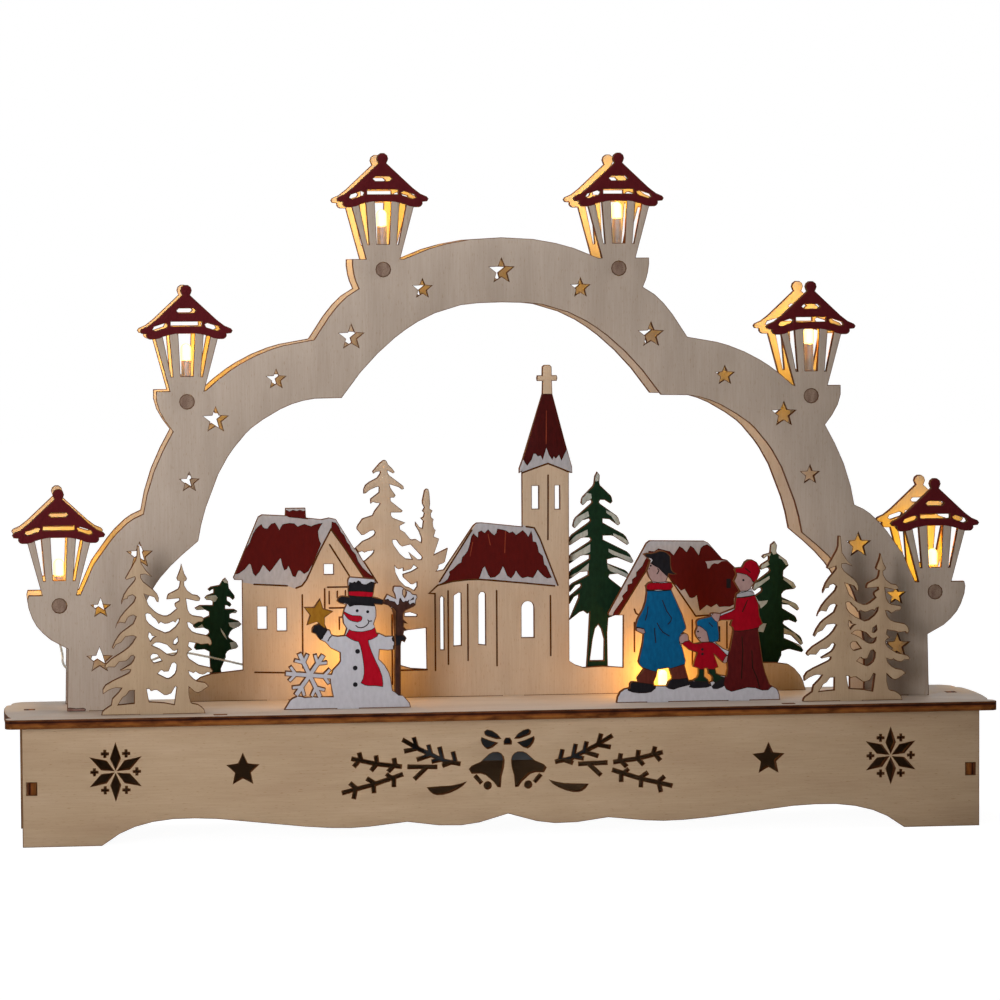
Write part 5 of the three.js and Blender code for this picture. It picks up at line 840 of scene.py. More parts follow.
LEFT_TREE_SNOW = [
    [(-0.3, 54.4), (2.9, 54.4), (2.9, 51.7), (1.2, 52.1), (0.4, 53.1)],
    [(-7.9, 45), (-6.4, 46.4), (-2.7, 46.6), (-1.8, 45.6), (-2.7, 43.9), (-4.9, 43.1), (-7.7, 43.8)],
    [(-12.1, 40.6), (-11, 42.1), (-9.1, 41.7), (-6, 38.9), (-5.4, 37.2), (-9.9, 36.8), (-11.8, 39.4)],
    [(-14.9, 33.3), (-11, 32.5), (-8.8, 33.9), (-7.9, 32.2), (-9.1, 30.3), (-12.1, 30.6)],
    [(-12.7, 21.1), (-9.9, 22.8), (-9.1, 21.1), (-11, 19.4)],
    [(4.3, 38.9), (7.6, 39.7), (6.2, 36.7), (5.1, 36.1)],
    [(2.9, 34.4), (8.4, 34.7), (7.9, 32.2), (5.1, 31.7), (3.4, 32.8)],
    [(3.4, 25.6), (7.3, 26.1), (7.1, 22.2), (5.1, 20.6), (4, 22.8)],
    [(-0.7, 32.2), (1.2, 29.4), (2.3, 26.7), (0.9, 28.3), (-0.4, 30.6)],
]
RIGHT_TREE_SNOW = [
    [(-1.6, 67.1), (2.7, 67.1), (2.4, 61.4), (0.2, 60.9), (-1.2, 62.9)],
    [(-5.1, 61.1), (-0.9, 61.3), (-1.6, 59.9), (-4.4, 59.3)],
    [(-5.9, 56.4), (-2.3, 57.9), (-1.6, 56.4), (-5.1, 54.3)],
    [(-8.7, 47.9), (-5.9, 48.9), (-1.6, 51.4), (-1.6, 50), (-6.6, 46.4), (-9.1, 45)],
    [(-8.7, 43.6), (-6.6, 40), (-2.3, 40.4), (-3, 38.9), (-5.5, 36.8), (-7.6, 40)],
    [(-7.3, 30), (-3, 30), (-4.4, 26.1), (-6.9, 26.4)],
    [(2.7, 60.4), (5.6, 58.9), (7.4, 56.4), (5.9, 56.1), (4.1, 58.6), (2.7, 59.3)],
    [(4.9, 50.7), (8.4, 49.3), (10.7, 46.8), (9.9, 45), (7, 47.9), (4.7, 49.6)],
    [(4.1, 40.6), (9.1, 39.3), (12.1, 37.1), (11.9, 35.1), (9.9, 36.8), (7, 38.6), (4.1, 39.4)],
    [(4.9, 27.9), (9.9, 25.4), (13.8, 20.7), (12.7, 18.9), (9.9, 20.7), (7, 23.6), (4.9, 25)],
]


# Geometry Nodes: dowels, lamps, wires and springs

GROWN_SHARP_ANGLE = 40


def new_tree(name, *sizes):
    """A geometry tree with a geometry input and named float sizes."""
    tree = bpy.data.node_groups.new(name, "GeometryNodeTree")
    tree.interface.new_socket("Geometry", in_out="INPUT", socket_type="NodeSocketGeometry")
    for size in sizes:
        tree.interface.new_socket(size, in_out="INPUT", socket_type="NodeSocketFloat")
    tree.interface.new_socket("Geometry", in_out="OUTPUT", socket_type="NodeSocketGeometry")
    return tree, add_node(tree, "NodeGroupInput").outputs


def close_tree(tree, geometry, material):
    real = add_node(tree, "GeometryNodeRealizeInstances", {0: geometry})
    painted = add_node(tree, "GeometryNodeSetMaterial", {"Geometry": real, "Material": MATERIALS[material]})
    add_node(tree, "NodeGroupOutput", {0: painted})
    return tree


def grown(name, tree, base, sizes, nodes):
    """Runs a tree on a base mesh, keeps the result as a plain mesh and puts it in the frame."""
    carrier = add_object(name + "_base", base)
    modifier = carrier.modifiers.new("grow", "NODES")
    modifier.node_group = tree
    for socket in tree.interface.items_tree:
        if socket.in_out == "INPUT" and socket.name in sizes:
            modifier[socket.identifier] = sizes[socket.name]
    graph = bpy.context.evaluated_depsgraph_get()
    mesh = bpy.data.meshes.new_from_object(carrier.evaluated_get(graph), depsgraph=graph)
    carrier.modifiers.remove(modifier)
    bpy.data.objects.remove(carrier)
    if not mesh.polygons:
        raise RuntimeError(f"{name} came out empty")
    mesh.name = name
    smooth(mesh, GROWN_SHARP_ANGLE)
    piece = add_object(name, mesh)
    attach(piece, "arch_and_base")
    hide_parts(*nodes)
    return piece


def path_mesh(name, *paths):
    """A mesh of open lines through the points of each path, given in millimetres."""
    points = []
    edges = []
    for path in paths:
        edges.extend((len(points) + i, len(points) + i + 1) for i in range(len(path) - 1))
        points.extend(tuple(c * MM for c in p) for p in path)
    mesh = bpy.data.meshes.new(name)
    mesh.from_pydata(points, edges, [])
    return mesh


def tube_tree(name, material, sides, smooth_steps=0):
    """Round bars along lines, with flat closed ends and, where asked, a smooth way through their points."""
    tree, given = new_tree(name, "Radius")
    line = add_node(tree, "GeometryNodeMeshToCurve", {0: given["Geometry"]})
    if smooth_steps:
        kind = add_node(tree, "GeometryNodeCurveSplineType", {0: line}, spline_type="CATMULL_ROM")
        line = add_node(tree, "GeometryNodeSetSplineResolution", {0: kind, "Resolution": smooth_steps})
    ring = add_node(tree, "GeometryNodeCurvePrimitiveCircle", {
        "Resolution": sides, "Radius": given["Radius"],
    })
    bar = add_node(tree, "GeometryNodeCurveToMesh", {0: line, 1: ring, "Fill Caps": True})
    return close_tree(tree, bar, material)


def turned_bar(tree, line, radius, sides):
    """A round bar along a line, with flat closed ends and a radius that may change on its way."""
    ring = add_node(tree, "GeometryNodeCurvePrimitiveCircle", {"Resolution": sides, "Radius": 1.0})
    return add_node(tree, "GeometryNodeCurveToMesh", {0: line, 1: ring, "Scale": radius, "Fill Caps": True})


def chamfered_tree(name, material, sides=40):
    """Round bars along lines, whose ends have a small chamfer."""
    tree, given = new_tree(name, "Radius", "Chamfer")
    curve = add_node(tree, "GeometryNodeMeshToCurve", {0: given["Geometry"]})
    length = add_node(tree, "GeometryNodeSplineLength")
    along = add_node(tree, "GeometryNodeSplineParameter").outputs["Length"]
    away = add_node(tree, "ShaderNodeMath", {0: length, 1: along}, operation="SUBTRACT")
    near = add_node(tree, "ShaderNodeMath", {0: away, 1: along}, operation="MINIMUM")
    end = add_node(tree, "ShaderNodeMath", {0: given["Radius"], 1: given["Chamfer"]}, operation="SUBTRACT")
    radius = add_node(tree, "ShaderNodeMapRange", {
        "Value": near, "From Min": 0.0, "From Max": given["Chamfer"],
        "To Min": end, "To Max": given["Radius"],
    })
    return close_tree(tree, turned_bar(tree, curve, radius, sides), material)


DOME_STEPS = 48
DOME_SIDES = 32
# The width of the flat spot that closes a dome, as a share of the dome's
DOME_TIP = 0.04


def dome_tree(name, material):
    """A domed lens on each point of a mesh: a short cylinder that ends in a half ball."""
    tree, given = new_tree(name, "Radius", "Height")
    height, radius = given["Height"], given["Radius"]
    top = add_node(tree, "ShaderNodeCombineXYZ", {"Z": height})
    axis = add_node(tree, "GeometryNodeCurvePrimitiveLine", {"Start": (0, 0, 0), "End": top})
    steps = add_node(tree, "GeometryNodeResampleCurve", {0: axis, "Count": DOME_STEPS})
    along = add_node(tree, "GeometryNodeSplineParameter").outputs["Length"]
    # The ball's radius at each height, where "so far" stands for the step before
    width = None
    for operation, *terms in (
        ("SUBTRACT", height, along), ("DIVIDE", "so far", radius), ("MINIMUM", "so far", 1.0),
        ("SUBTRACT", 1.0, "so far"), ("MULTIPLY", "so far", "so far"), ("SUBTRACT", 1.0, "so far"),
        ("SQRT", "so far"), ("MAXIMUM", "so far", DOME_TIP), ("MULTIPLY", "so far", radius),
    ):
        links = {i: width if term == "so far" else term for i, term in enumerate(terms)}
        width = add_node(tree, "ShaderNodeMath", links, operation=operation)
    dome = turned_bar(tree, steps, width, DOME_SIDES)
    spots = add_node(tree, "GeometryNodeInstanceOnPoints", {"Points": given["Geometry"], "Instance": dome})
    return close_tree(tree, spots, material)


def along_axis(node, axis):
    """The ends of the middle line of a node's box along an axis, in millimetres."""
    low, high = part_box(node)
    middle = (low + high) / 2
    ends = []
    for corner in (low, high):
        end = middle.copy()
        end[axis] = corner[axis]
        ends.append(tuple(c / MM for c in end))
    return ends


def graded_lines(name, nodes, axis, step):
    """A line through the middle of each node, with a point near each end, where a chamfer starts."""
    paths = []
    for node in nodes:
        low, high = (Vector(end) for end in along_axis(node, axis))
        way = (high - low).normalized() * step
        paths.append([low, low + way, high - way, high])
    return path_mesh(name, *paths)


DOWEL_RADIUS = 3.0


def make_dowels(sizes):
    """The dowels that join the arch's two boards, with their sawn ends a little chamfered."""
    nodes = [f"arch_dowel_{i}" for i in range(1, 7)]
    lines = graded_lines("dowel_lines", nodes, 1, sizes.dowel_chamfer / MM)
    grown("arch_dowels", chamfered_tree("dowels", "sawn_beech_dowel"), lines,
          {"Radius": DOWEL_RADIUS * MM, "Chamfer": sizes.dowel_chamfer}, nodes)


LAMPS = [("lantern", i) for i in range(1, 7)] + [("village", i) for i in range(1, 3)]
LENS_RADIUS = 2.3
TUBE_RADIUS = 2.1
TUBE_CHAMFER = 0.3
DIODE_RADIUS = 2.0
DIODE_HEIGHT = 5.5
# The light of a lamp behind the village's figures starts behind its lens, so that it spares their backs
GLOW_SET_BACK = 7
FAMILY_LAMP_SHARE = 1.3


def make_lamps(sizes, colours):
    """A tube with a lit lens for each lamp, and a small light in each lens."""
    lenses = [f"{kind}_lamp_{i}" for kind, i in LAMPS]
    tubes = [f"{kind}_lamp_tube_{i}" for kind, i in LAMPS]
    ends = [along_axis(node, 2) for node in lenses]
    points = path_mesh("lens_points", *([foot] for foot, _ in ends))
    lens_sizes = {"Radius": LENS_RADIUS * MM, "Height": (ends[0][1][2] - ends[0][0][2]) * MM}
    lens = grown("lamp_lenses", dome_tree("lenses", "lit_warm_lens"), points, lens_sizes, lenses)
    lens.visible_shadow = False
    grown("lamp_tubes", chamfered_tree("tubes", "frosted_lamp_tube", 24),
          graded_lines("tube_lines", tubes, 2, TUBE_CHAMFER),
          {"Radius": TUBE_RADIUS * MM, "Chamfer": TUBE_CHAMFER * MM}, tubes)
    for (kind, number), (foot, _) in zip(LAMPS, ends):
        glow = bpy.data.lights.new(f"{kind}_light", "POINT")
        glow.color = getattr(colours, f"{kind}_light")[:3]
        glow.energy = getattr(sizes, f"{kind}_light")
        if (kind, number) == ("village", 2):
            glow.energy *= FAMILY_LAMP_SHARE
        glow.shadow_soft_size = DIODE_RADIUS * MM
        back = GLOW_SET_BACK if kind == "village" else 0
        light = add_object(f"{kind}_light", glow)
        light.location = (foot[0] * MM, (foot[1] + back) * MM, (foot[2] + DIODE_HEIGHT) * MM)


# Wires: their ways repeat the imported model's, in millimetres
WIRE_Y = -2.1
STRING_START = [
    (-35.4, 15, 50.1), (-60, 16, 50.1), (-100, 14, 50.1), (-140, 8, 50.1), (-154, 3.6, 49.4),
    (-161.4, 1.2, 48.6), (-164.4, 0.6, 50.6), (-165, 0.6, 53), (-165, 0.6, 56), (-165.4, 0, 61),
    (-168, -1.6, 66.5), (-177, WIRE_Y, 70), (-185, WIRE_Y, 71.5), (-189.2, WIRE_Y, 75), (-189.8, WIRE_Y, 80),
    (-192, WIRE_Y, 88), (-196.6, WIRE_Y, 95.5), (-196.2, WIRE_Y, 102.5), (-190.8, WIRE_Y, 105.2),
    (-184.6, WIRE_Y, 103.8),
]
# Half of the arch and the string's far end, measured from the arch's middle and the board's top
ARCH_RUN = [
    (181.2, 51.4), (176.8, 57), (171.5, 64.5), (165.5, 71.5), (158, 77.8), (152, 85), (149.2, 95),
    (145.8, 107), (142.6, 119), (142.6, 129), (141.4, 135), (136.9, 137.4), (131.6, 136.4), (123.5, 138.2),
    (111, 145.4), (97, 150.6), (85, 153.4), (77, 159), (71.5, 167), (64, 174.4), (58, 182), (57, 190.4),
    (51.6, 193.9), (45.6, 192), (37, 192.4), (24, 195.4), (10, 197.4),
]
STRING_END = [(188, 48.8), (192.6, 50.2), (198, 47.5), (198.8, 41.5)]


def on_arch(points, side):
    """Points of the arch's run on its right side, or mirrored to its left."""
    return [(ARCH_X + side * x, WIRE_Y, BOARD_TOP + z) for x, z in points]


ARCH_WAY = on_arch(ARCH_RUN, -1) + on_arch(ARCH_RUN, 1)[::-1]
WIRES = {
    "light_string_wire": STRING_START + ARCH_WAY + on_arch(STRING_END, 1),
    "string_tail_wire": [
        (-167.4, 1.4, 64), (-158, 8, 71.5), (-146, 17, 76), (-136, 24.6, 76.6), (-126.5, 25.6, 74.8),
        (-120.5, 25.8, 73.4), (-116, 27.2, 72.2), (-112.5, 28.4, 71.2), (-108, 28.6, 70.2),
        (-100, 28.1, 68.6),
    ],
    "village_wire_1": [(-35.4, -8, 50.1), (-46, -7, 50.1), (-55, -2, 50.1), (-61.6, 0, 50.1)],
    "village_wire_2": [(35.4, -8, 50.1), (46, -7, 50.1), (60, 2, 50.1), (71.6, 5, 50.1)],
}
SHEATH_RADIUS = 0.6
CORE_RADIUS = 0.24
WIRE_STEPS = 5


def make_wires():
    """Thin wires, each one a clear sheath round a tinned copper core."""
    sheath = tube_tree("sheaths", "clear_wire_sheath", 14, WIRE_STEPS)
    core = tube_tree("cores", "tinned_copper", 8, WIRE_STEPS)
    grown("wire_sheaths", sheath, path_mesh("sheath_lines", *WIRES.values()), {"Radius": SHEATH_RADIUS * MM},
          list(WIRES))
    grown("wire_cores", core, path_mesh("core_lines", *WIRES.values()), {"Radius": CORE_RADIUS * MM}, [])


SPRING_WIRE = 0.35
SPRING_FOOT = 4.5
SPRING_TIP = 2.2
STEPS_PER_TURN = 20


def make_springs(sizes):
    """Conical springs wound from steel wire, one at each cell's flat end."""
    nodes = [f"battery_spring_{i}" for i in range(1, 4)]
    steps = int(sizes.spring_turns * STEPS_PER_TURN)
    paths = []
    for node in nodes:
        low, high = along_axis(node, 0)
        # The middle cell lies the other way round
        foot, tip = (high, low) if node == "battery_spring_2" else (low, high)
        span = tip[0] - foot[0]
        inset = math.copysign(SPRING_WIRE, span)
        path = []
        for i in range(steps + 1):
            t = i / steps
            radius = SPRING_FOOT - SPRING_WIRE + (SPRING_TIP - SPRING_FOOT) * t
            angle = t * sizes.spring_turns * math.tau
            path.append((foot[0] + inset + t * (span - 2 * inset),
                         foot[1] + radius * math.cos(angle), foot[2] + radius * math.sin(angle)))
        paths.append(path)
    grown("battery_springs", tube_tree("springs", "nickel_plated_steel", 10),
          path_mesh("spring_lines", *paths), {"Radius": SPRING_WIRE * MM}, nodes)


# The rest of the nodes keep their shape and get a material
NODE_MATERIALS = {
    "black_moulded_abs": ["battery_box", "battery_lid", "switch_knob"],
    "plain_cell_jacket": ["battery_1", "battery_2", "battery_3"],
    "nickel_plated_steel": [
        "switch_body", "contact_plate_link_left", "contact_plate_end_left", "contact_plate_end_right",
        "contact_plate_link_right", "box_screw_left", "box_screw_right",
    ],
}


def finish_hardware():
    """Gives each carried-over node of the battery box its material."""
    for material, nodes in NODE_MATERIALS.items():
        for node in nodes:
            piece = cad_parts[node]
            piece.data.materials.clear()
            piece.data.materials.append(MATERIALS[material])


# Stage, light and camera

CAMERA_PLACE = (-226.946396, -1770.571328, 245.803862)
CAMERA_YAW = 0.128222
CAMERA_PITCH = -0.057221
CAMERA_ROLL = -0.005609
FOCAL_PIXELS = 4090.574841
PHOTO_PIXELS = 1000
SENSOR_MM = 36.0


def aim_camera():
    """The camera at the photograph's viewpoint, fitted to points of the arch and edges of the base."""
    yaw, pitch, roll = CAMERA_YAW, CAMERA_PITCH, CAMERA_ROLL
    ahead = Vector((math.sin(yaw) * math.cos(pitch), math.cos(yaw) * math.cos(pitch), math.sin(pitch)))
    level = Vector((math.cos(yaw), -math.sin(yaw), 0))
    rise = level.cross(ahead)
    right = level * math.cos(roll) + rise * math.sin(roll)
    up = rise * math.cos(roll) - level * math.sin(roll)
    data = bpy.data.cameras.new("photo_camera")
    data.sensor_width = SENSOR_MM
    data.lens = FOCAL_PIXELS * SENSOR_MM / PHOTO_PIXELS
    data.clip_end = 20
    camera = add_object("photo_camera", data)
    place = Matrix((right, up, -ahead)).transposed().to_4x4()
    place.translation = Vector(CAMERA_PLACE) * MM
    camera.matrix_world = place
    bpy.context.scene.camera = camera


def sees_white(tree):
    """One for the camera's, glossy and clear rays, which see a white studio, and zero for all others."""
    path = add_node(tree, "ShaderNodeLightPath").outputs
    seen = path["Is Camera Ray"]
    for ray in ("Is Glossy Ray", "Is Transmission Ray"):
        seen = add_node(tree, "ShaderNodeMath", {0: seen, 1: path[ray]}, operation="MAXIMUM")
    return seen


FLOOR_HALF = 4.0
FLOOR_GLOW_SHARE = 0.7
# How much of the world's light reaches the paper, and the level at which it is seen as white
FLOOR_SKY_SHARE = 0.95
FLOOR_WHITE = 1.005
PAPER = "#e6e5e3"


def white_floor(world_light):
    """White paper: just white to the camera where the world alone lights it, darker in the object's shade."""
    material, tree = new_material("white_paper_floor")
    share = add_node(tree, "ShaderNodeMath", {0: sees_white(tree), 1: FLOOR_GLOW_SHARE}, operation="MULTIPLY")
    paper = add_node(tree, "ShaderNodeBsdfDiffuse", {"Color": linear(PAPER)})
    lit_paper = (1 - FLOOR_GLOW_SHARE) * linear(PAPER)[2] * world_light * FLOOR_SKY_SHARE
    glow = add_node(tree, "ShaderNodeEmission", {
        "Color": linear("#ffffff"), "Strength": (FLOOR_WHITE - lit_paper) / FLOOR_GLOW_SHARE,
    })
    blend = add_node(tree, "ShaderNodeMixShader", {0: share, 1: paper, 2: glow})
    add_node(tree, "ShaderNodeOutputMaterial", {"Surface": blend})
    return material


# The light from all sides, in linear values
WARM_SKY = (1, 0.97, 0.93, 1)


def light_world(strength):
    """A studio that lights the arch softly and warmly from all sides and shows as plain white."""
    world = bpy.data.worlds.new("studio")
    bpy.context.scene.world = world
    world.use_nodes = True
    tree = world.node_tree
    tree.nodes.clear()
    sky = add_node(tree, "ShaderNodeBackground", {"Color": WARM_SKY, "Strength": strength})
    white = add_node(tree, "ShaderNodeBackground", {"Color": linear("#ffffff"), "Strength": 1.0})
    blend = add_node(tree, "ShaderNodeMixShader", {0: sees_white(tree), 1: sky, 2: white})
    add_node(tree, "ShaderNodeOutputWorld", {"Surface": blend})


# Studio lamps: place, target and width in metres, share of the key light, colour and spread in degrees
STUDIO_LAMPS = {
    "key": ((-0.56, -0.76, 0.28), (-0.08, 0, 0.19), 0.5, 1.0, "#f8faff", 47),
    "fill": ((0.4, -2.0, 0.4), (0, 0, 0.12), 1.2, 0.2, "#ffffff", 180),
    "top": ((-0.03, 0.01, 0.8), (-0.03, -0.02, 0.055), 0.25, 0.46, "#f4f8ff", 50),
}


def make_stage(sizes):
    """The paper floor, the studio lamps, the world and the camera."""
    mesh = bpy.data.meshes.new("floor")
    corners = [(x * FLOOR_HALF, y * FLOOR_HALF, 0) for x, y in ((-1, -1), (1, -1), (1, 1), (-1, 1))]
    mesh.from_pydata(corners, [], [(0, 1, 2, 3)])
    mesh.materials.append(white_floor(sizes.world_light))
    floor = add_object("floor", mesh)
    light_world(sizes.world_light)
    for name, (place, target, width, share, colour, spread) in STUDIO_LAMPS.items():
        data = bpy.data.lights.new(name, "AREA")
        data.size = width
        data.energy = sizes.key_light * share
        data.spread = math.radians(spread)
        data.color = linear(colour)[:3]
        way = Vector(target) - Vector(place)
        turn = way.to_track_quat("-Z", "Y").to_matrix().to_4x4()
        add_object(name, data).matrix_world = Matrix.Translation(Vector(place)) @ turn
    bpy.context.scene.view_settings.view_transform = "Standard"
    aim_camera()


# Drawings of the boards

def arch_drawing():
    """The front arch board: red lantern roofs, and above its left foot's tab a mark for the slot's open end,
    a scorched edge with painted shade.
    """
    drawing = Drawing()
    # Scorch and painted shade where the slot in front of the left foot opens
    drawing.outlined("foot_scorch", FOOT_SLOT_SCORCH_AND_SHADE)
    for x, z in LANTERNS:
        eaves = [(-u, v) for u, v in ROOF_FOOT[:0:-1]] + ROOF_FOOT
        corners = [(ROOF_REACH, ROOF_EAVES), (ROOF_REACH, ROOF_TOP), (-ROOF_REACH, ROOF_TOP),
                   (-ROOF_REACH, ROOF_EAVES)]
        drawing.paint("lantern_red_paint", [(x + u, z + v) for u, v in eaves + corners])
    return drawing


ROOF_BORDER = 0.13
SCRATCH_WIDTH = 0.4
VILLAGE_LINE_WIDTH = 0.75
FIGURE_LINE_WIDTH = 0.45


def village_drawing():
    """The village board: snow and red on its roofs, dark windows, and its engraved lines."""
    drawing = Drawing((0, BOARD_TOP))
    drawing.paint("roof_snow_paint", *VILLAGE_SNOW)
    drawing.outlined("roof_red_paint", *VILLAGE_RED, border=ROOF_BORDER)
    drawing.paint("roof_snow_paint", DORMER_SNOW)
    drawing.paint("black_paint", *DORMER_WINDOWS)
    drawing.outlined("tower_red_paint", TOWER_RED, border=ROOF_BORDER)
    drawing.paint("worn_red_paint", *(groove(line, SCRATCH_WIDTH)[0] for line in ROOF_SCRATCHES))
    drawing.engrave(*VILLAGE_LINES, width=VILLAGE_LINE_WIDTH)
    return drawing


def star_points(centre, radius, inner, turn):
    """The corners of a five-pointed star, whose inner corners reach a share of its radius."""
    points = []
    for i in range(10):
        reach = radius if i % 2 == 0 else radius * inner
        angle = math.radians(90 + turn + i * 36)
        points.append((centre[0] + reach * math.cos(angle), centre[1] + reach * math.sin(angle)))
    return points


def paint_figures(drawing, areas, dots, lines):
    """A figure's outlined areas, its black dots and its engraved lines."""
    for paint, outline in areas:
        drawing.outlined(paint, outline)
    drawing.paint("black_paint", *(dot(*spot) for spot in dots))
    drawing.engrave(*lines.values(), width=FIGURE_LINE_WIDTH, colour="outline_line")
    return drawing


SNOWMAN_X = -67.5
FAMILY_X = 86.5


def snowman_drawing():
    drawing = Drawing((SNOWMAN_X, BOARD_TOP))
    drawing.paint("scorched_rim", BARE_STICK)
    star = ("gold_paint", star_points((-12.8, 41.2), 7.1, 0.5, -9))
    return paint_figures(drawing, [*SNOWMAN_AREAS.values(), star], SNOWMAN_DOTS, SNOWMAN_LINES)


def family_drawing():
    return paint_figures(Drawing((FAMILY_X, BOARD_TOP)), FAMILY_AREAS.values(), FAMILY_DOTS, FAMILY_LINES)


# The middle of each green tree and its snow
GREEN_TREES = {
    "left": (-119, LEFT_TREE_SNOW), "center": (48, CENTER_TREE_SNOW), "right": (128, RIGHT_TREE_SNOW),
}


# Operators, their sizes and their panel

def length(name, description, default):
    """A length that is shown in the scene's unit and kept in metres."""
    return FloatProperty(name=name, description=description, default=default, min=1e-5, max=0.01, precision=5,
                         subtype="DISTANCE", unit="LENGTH")


def power(name, description, default):
    return FloatProperty(name=name, description=description, default=default, min=0.0, unit="POWER")


def colour_property(name, description, default):
    """A colour, given as it is seen on screen and kept in the linear values that shaders take."""
    return FloatVectorProperty(name=name, description=description, default=linear(default), min=0.0, max=1.0,
                               size=4, subtype="COLOR")


class LightArchSizes(bpy.types.PropertyGroup):
    """Sizes and light levels that a user would change."""

    rim_width: length("Rim width", "Width of the scorched rim along a cut", 0.00027)
    figure_rim: length("Figure rim", "Width of the scorched rim round the snowman and the family", 0.00038)
    rim_drop: length("Rim drop", "How far a scorched rim falls to its edge", 0.00012)
    groove_depth: length("Groove depth", "Depth of an engraved line", 0.00025)
    dowel_chamfer: length("Dowel chamfer", "Chamfer of a dowel's ends", 0.00018)
    spring_turns: FloatProperty(name="Spring turns", description="Turns of a battery spring",
                                default=4.5, min=1.0)
    lantern_light: power("Lantern light", "Light of a lantern's lamp", 0.082)
    village_light: power("Village light", "Light of the lamp behind the snowman", 0.037)
    key_light: power("Key light", "Light of the studio lamp on the left", 0.85)
    world_light: FloatProperty(name="World light", description="Strength of the light from all sides",
                               default=0.2, min=0.0)


class LightArchColours(bpy.types.PropertyGroup):
    """Colours that a user would change."""

    wood: colour_property("Wood", "Middle colour of the sanded birch", "#ab9b8c")
    wood_dark: colour_property("Dark wood", "Dark clouds in the birch", "#a59586")
    wood_light: colour_property("Light wood", "Light clouds in the birch", "#b0a091")
    roof_red: colour_property("Roof red", "Red of the houses' roofs", "#4a0c09")
    lantern_red: colour_property("Lantern red", "Red of the lantern roofs", "#531418")
    lantern_light: colour_property("Lantern light", "Colour of the light in the lanterns", "#ffc620")
    village_light: colour_property("Village light", "Colour of the light on the village", "#ffb626")


class LIGHTARCH_OT_materials(bpy.types.Operator):
    """Make every wood, paint, plastic and metal of the arch"""

    bl_idname = "lightarch.materials"
    bl_label = "Materials"
    bl_options = {"REGISTER", "UNDO"}

    def execute(self, context):
        MATERIALS.update(make_materials(context.scene.light_arch_colours))
        return {"FINISHED"}


class LIGHTARCH_OT_base(bpy.types.Operator):
    """Build the top board, the front and back boards and the end boards of the base"""

    bl_idname = "lightarch.base"
    bl_label = "Base"
    bl_options = {"REGISTER", "UNDO"}

    def execute(self, context):
        rebuild("base_top_board", TOP, "birch", face="smooth_birch", grain="u")
        rebuild("base_front_panel", FRONT, "birch_front", face="base_birch", grain="u")
        # The back board's inner face, seen through the front board's cut-outs, gets painted shade: a darker
        # birch in place of the shade inside the base
        rebuild("base_back_panel", FRONT, "birch", face="shaded_birch", back="base_birch", grain="u")
        rebuild("base_end_panel_left", LEFT, "birch", face="base_birch", grain="u")
        rebuild("base_end_panel_right", RIGHT, "birch", face="base_birch", grain="u")
        return {"FINISHED"}


class LIGHTARCH_OT_arch(bpy.types.Operator):
    """Build the two arch boards with their lanterns, and the dowels between them"""

    bl_idname = "lightarch.arch"
    bl_label = "Arch"
    bl_options = {"REGISTER", "UNDO"}

    def execute(self, context):
        rebuild("arch_front_panel", FRONT, "birch_front", arch_drawing())
        rebuild("arch_rear_panel", FRONT, "birch")
        make_dowels(context.scene.light_arch_sizes)
        return {"FINISHED"}


class LIGHTARCH_OT_village(bpy.types.Operator):
    """Build the village board and the three green trees behind it"""

    bl_idname = "lightarch.village"
    bl_label = "Village"
    bl_options = {"REGISTER", "UNDO"}

    def execute(self, context):
        rebuild("village_panel", FRONT, "birch", village_drawing(), face="village_birch")
        for side, (middle, snow) in GREEN_TREES.items():
            drawing = Drawing((middle, BOARD_TOP))
            drawing.paint("snow_grey_paint", *snow)
            rebuild(f"green_tree_{side}", FRONT, "painted_green_wood", drawing, face="fir_green_paint",
                    back="sanded_birch")
        return {"FINISHED"}


class LIGHTARCH_OT_front_row(bpy.types.Operator):
    """Build the bare trees, the snowman and the family in the front row"""

    bl_idname = "lightarch.front_row"
    bl_label = "Front row"
    bl_options = {"REGISTER", "UNDO"}

    def execute(self, context):
        rebuild("front_trees_left", FRONT, "birch", face="base_birch")
        rebuild("front_trees_right", FRONT, "birch", face="base_birch")
        painted = {"face": "snow_white_paint", "back": "sanded_birch",
                   "rim": context.scene.light_arch_sizes.figure_rim}
        rebuild("snowman_panel", FRONT, "painted_white_wood", snowman_drawing(), **painted)
        rebuild("family_panel", FRONT, "painted_blue_wood", family_drawing(), **painted)
        return {"FINISHED"}


class LIGHTARCH_OT_lights(bpy.types.Operator):
    """Build the lamps and the clear wires that feed them"""

    bl_idname = "lightarch.lights"
    bl_label = "Lamps and wires"
    bl_options = {"REGISTER", "UNDO"}

    def execute(self, context):
        make_lamps(context.scene.light_arch_sizes, context.scene.light_arch_colours)
        make_wires()
        return {"FINISHED"}


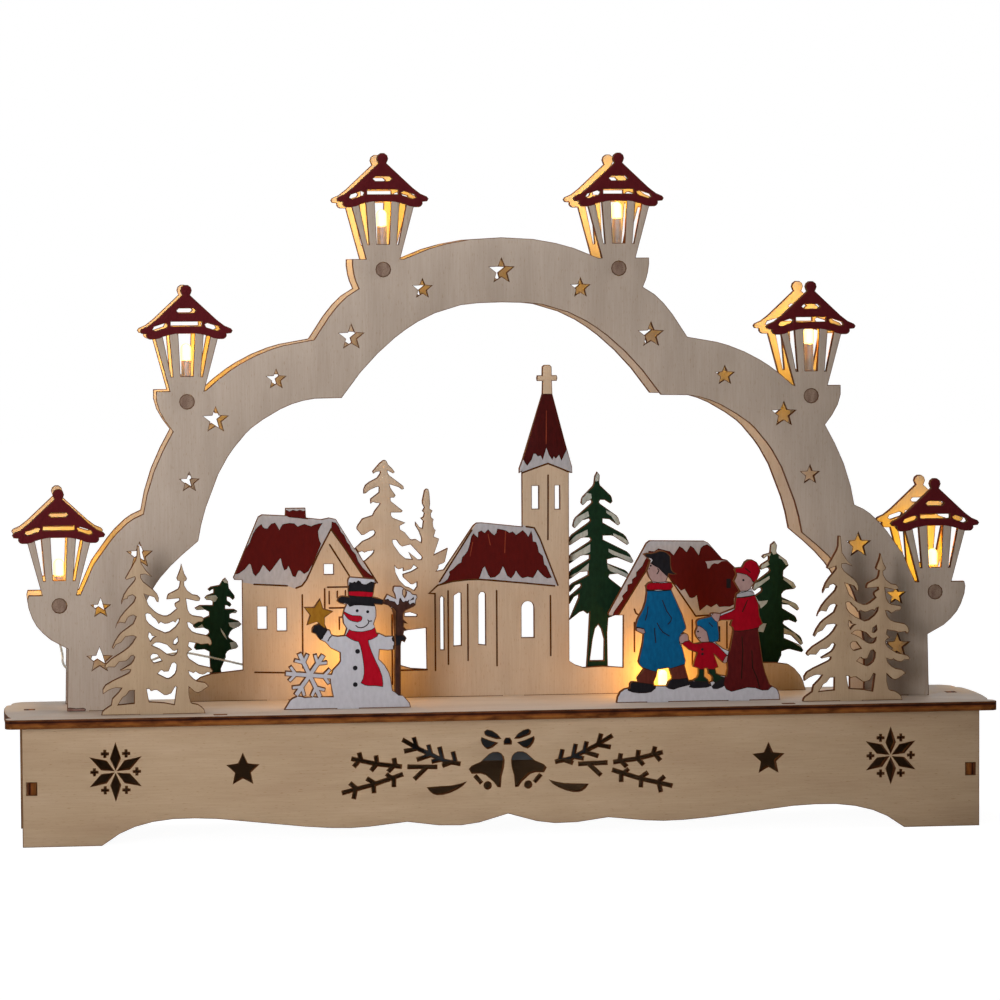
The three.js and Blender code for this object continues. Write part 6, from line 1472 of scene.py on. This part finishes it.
class LIGHTARCH_OT_battery(bpy.types.Operator):
    """Wind the battery springs and finish the battery box, its cells, plates, switch and screws"""

    bl_idname = "lightarch.battery"
    bl_label = "Battery box"
    bl_options = {"REGISTER", "UNDO"}

    def execute(self, context):
        make_springs(context.scene.light_arch_sizes)
        finish_hardware()
        return {"FINISHED"}


class LIGHTARCH_OT_stage(bpy.types.Operator):
    """Set up the floor, the light and the camera"""

    bl_idname = "lightarch.stage"
    bl_label = "Stage"
    bl_options = {"REGISTER", "UNDO"}

    def execute(self, context):
        make_stage(context.scene.light_arch_sizes)
        return {"FINISHED"}


OPERATORS = (
    LIGHTARCH_OT_materials, LIGHTARCH_OT_base, LIGHTARCH_OT_arch, LIGHTARCH_OT_village,
    LIGHTARCH_OT_front_row, LIGHTARCH_OT_lights, LIGHTARCH_OT_battery, LIGHTARCH_OT_stage,
)


class LIGHTARCH_PT_panel(bpy.types.Panel):
    """Lists the pieces of the light arch with their sizes and colours."""

    bl_idname = "LIGHTARCH_PT_panel"
    bl_label = "Light arch"
    bl_space_type = "VIEW_3D"
    bl_region_type = "UI"
    bl_category = "Light arch"

    def draw(self, context):
        for group in (context.scene.light_arch_sizes, context.scene.light_arch_colours):
            for name in group.__annotations__:
                self.layout.prop(group, name)
        for operator in OPERATORS:
            self.layout.operator(operator.bl_idname)


CLASSES = (LightArchSizes, LightArchColours) + OPERATORS + (LIGHTARCH_PT_panel,)


def register():
    for item in CLASSES:
        bpy.utils.register_class(item)
    bpy.types.Scene.light_arch_sizes = PointerProperty(type=LightArchSizes)
    bpy.types.Scene.light_arch_colours = PointerProperty(type=LightArchColours)


def unregister():
    del bpy.types.Scene.light_arch_colours
    del bpy.types.Scene.light_arch_sizes
    for item in reversed(CLASSES):
        bpy.utils.unregister_class(item)


def main():
    register()
    bpy.ops.lightarch.materials()
    bpy.ops.lightarch.base()
    bpy.ops.lightarch.arch()
    bpy.ops.lightarch.village()
    bpy.ops.lightarch.front_row()
    bpy.ops.lightarch.lights()
    bpy.ops.lightarch.battery()
    bpy.ops.lightarch.stage()


if __name__ == "__main__":
    main()
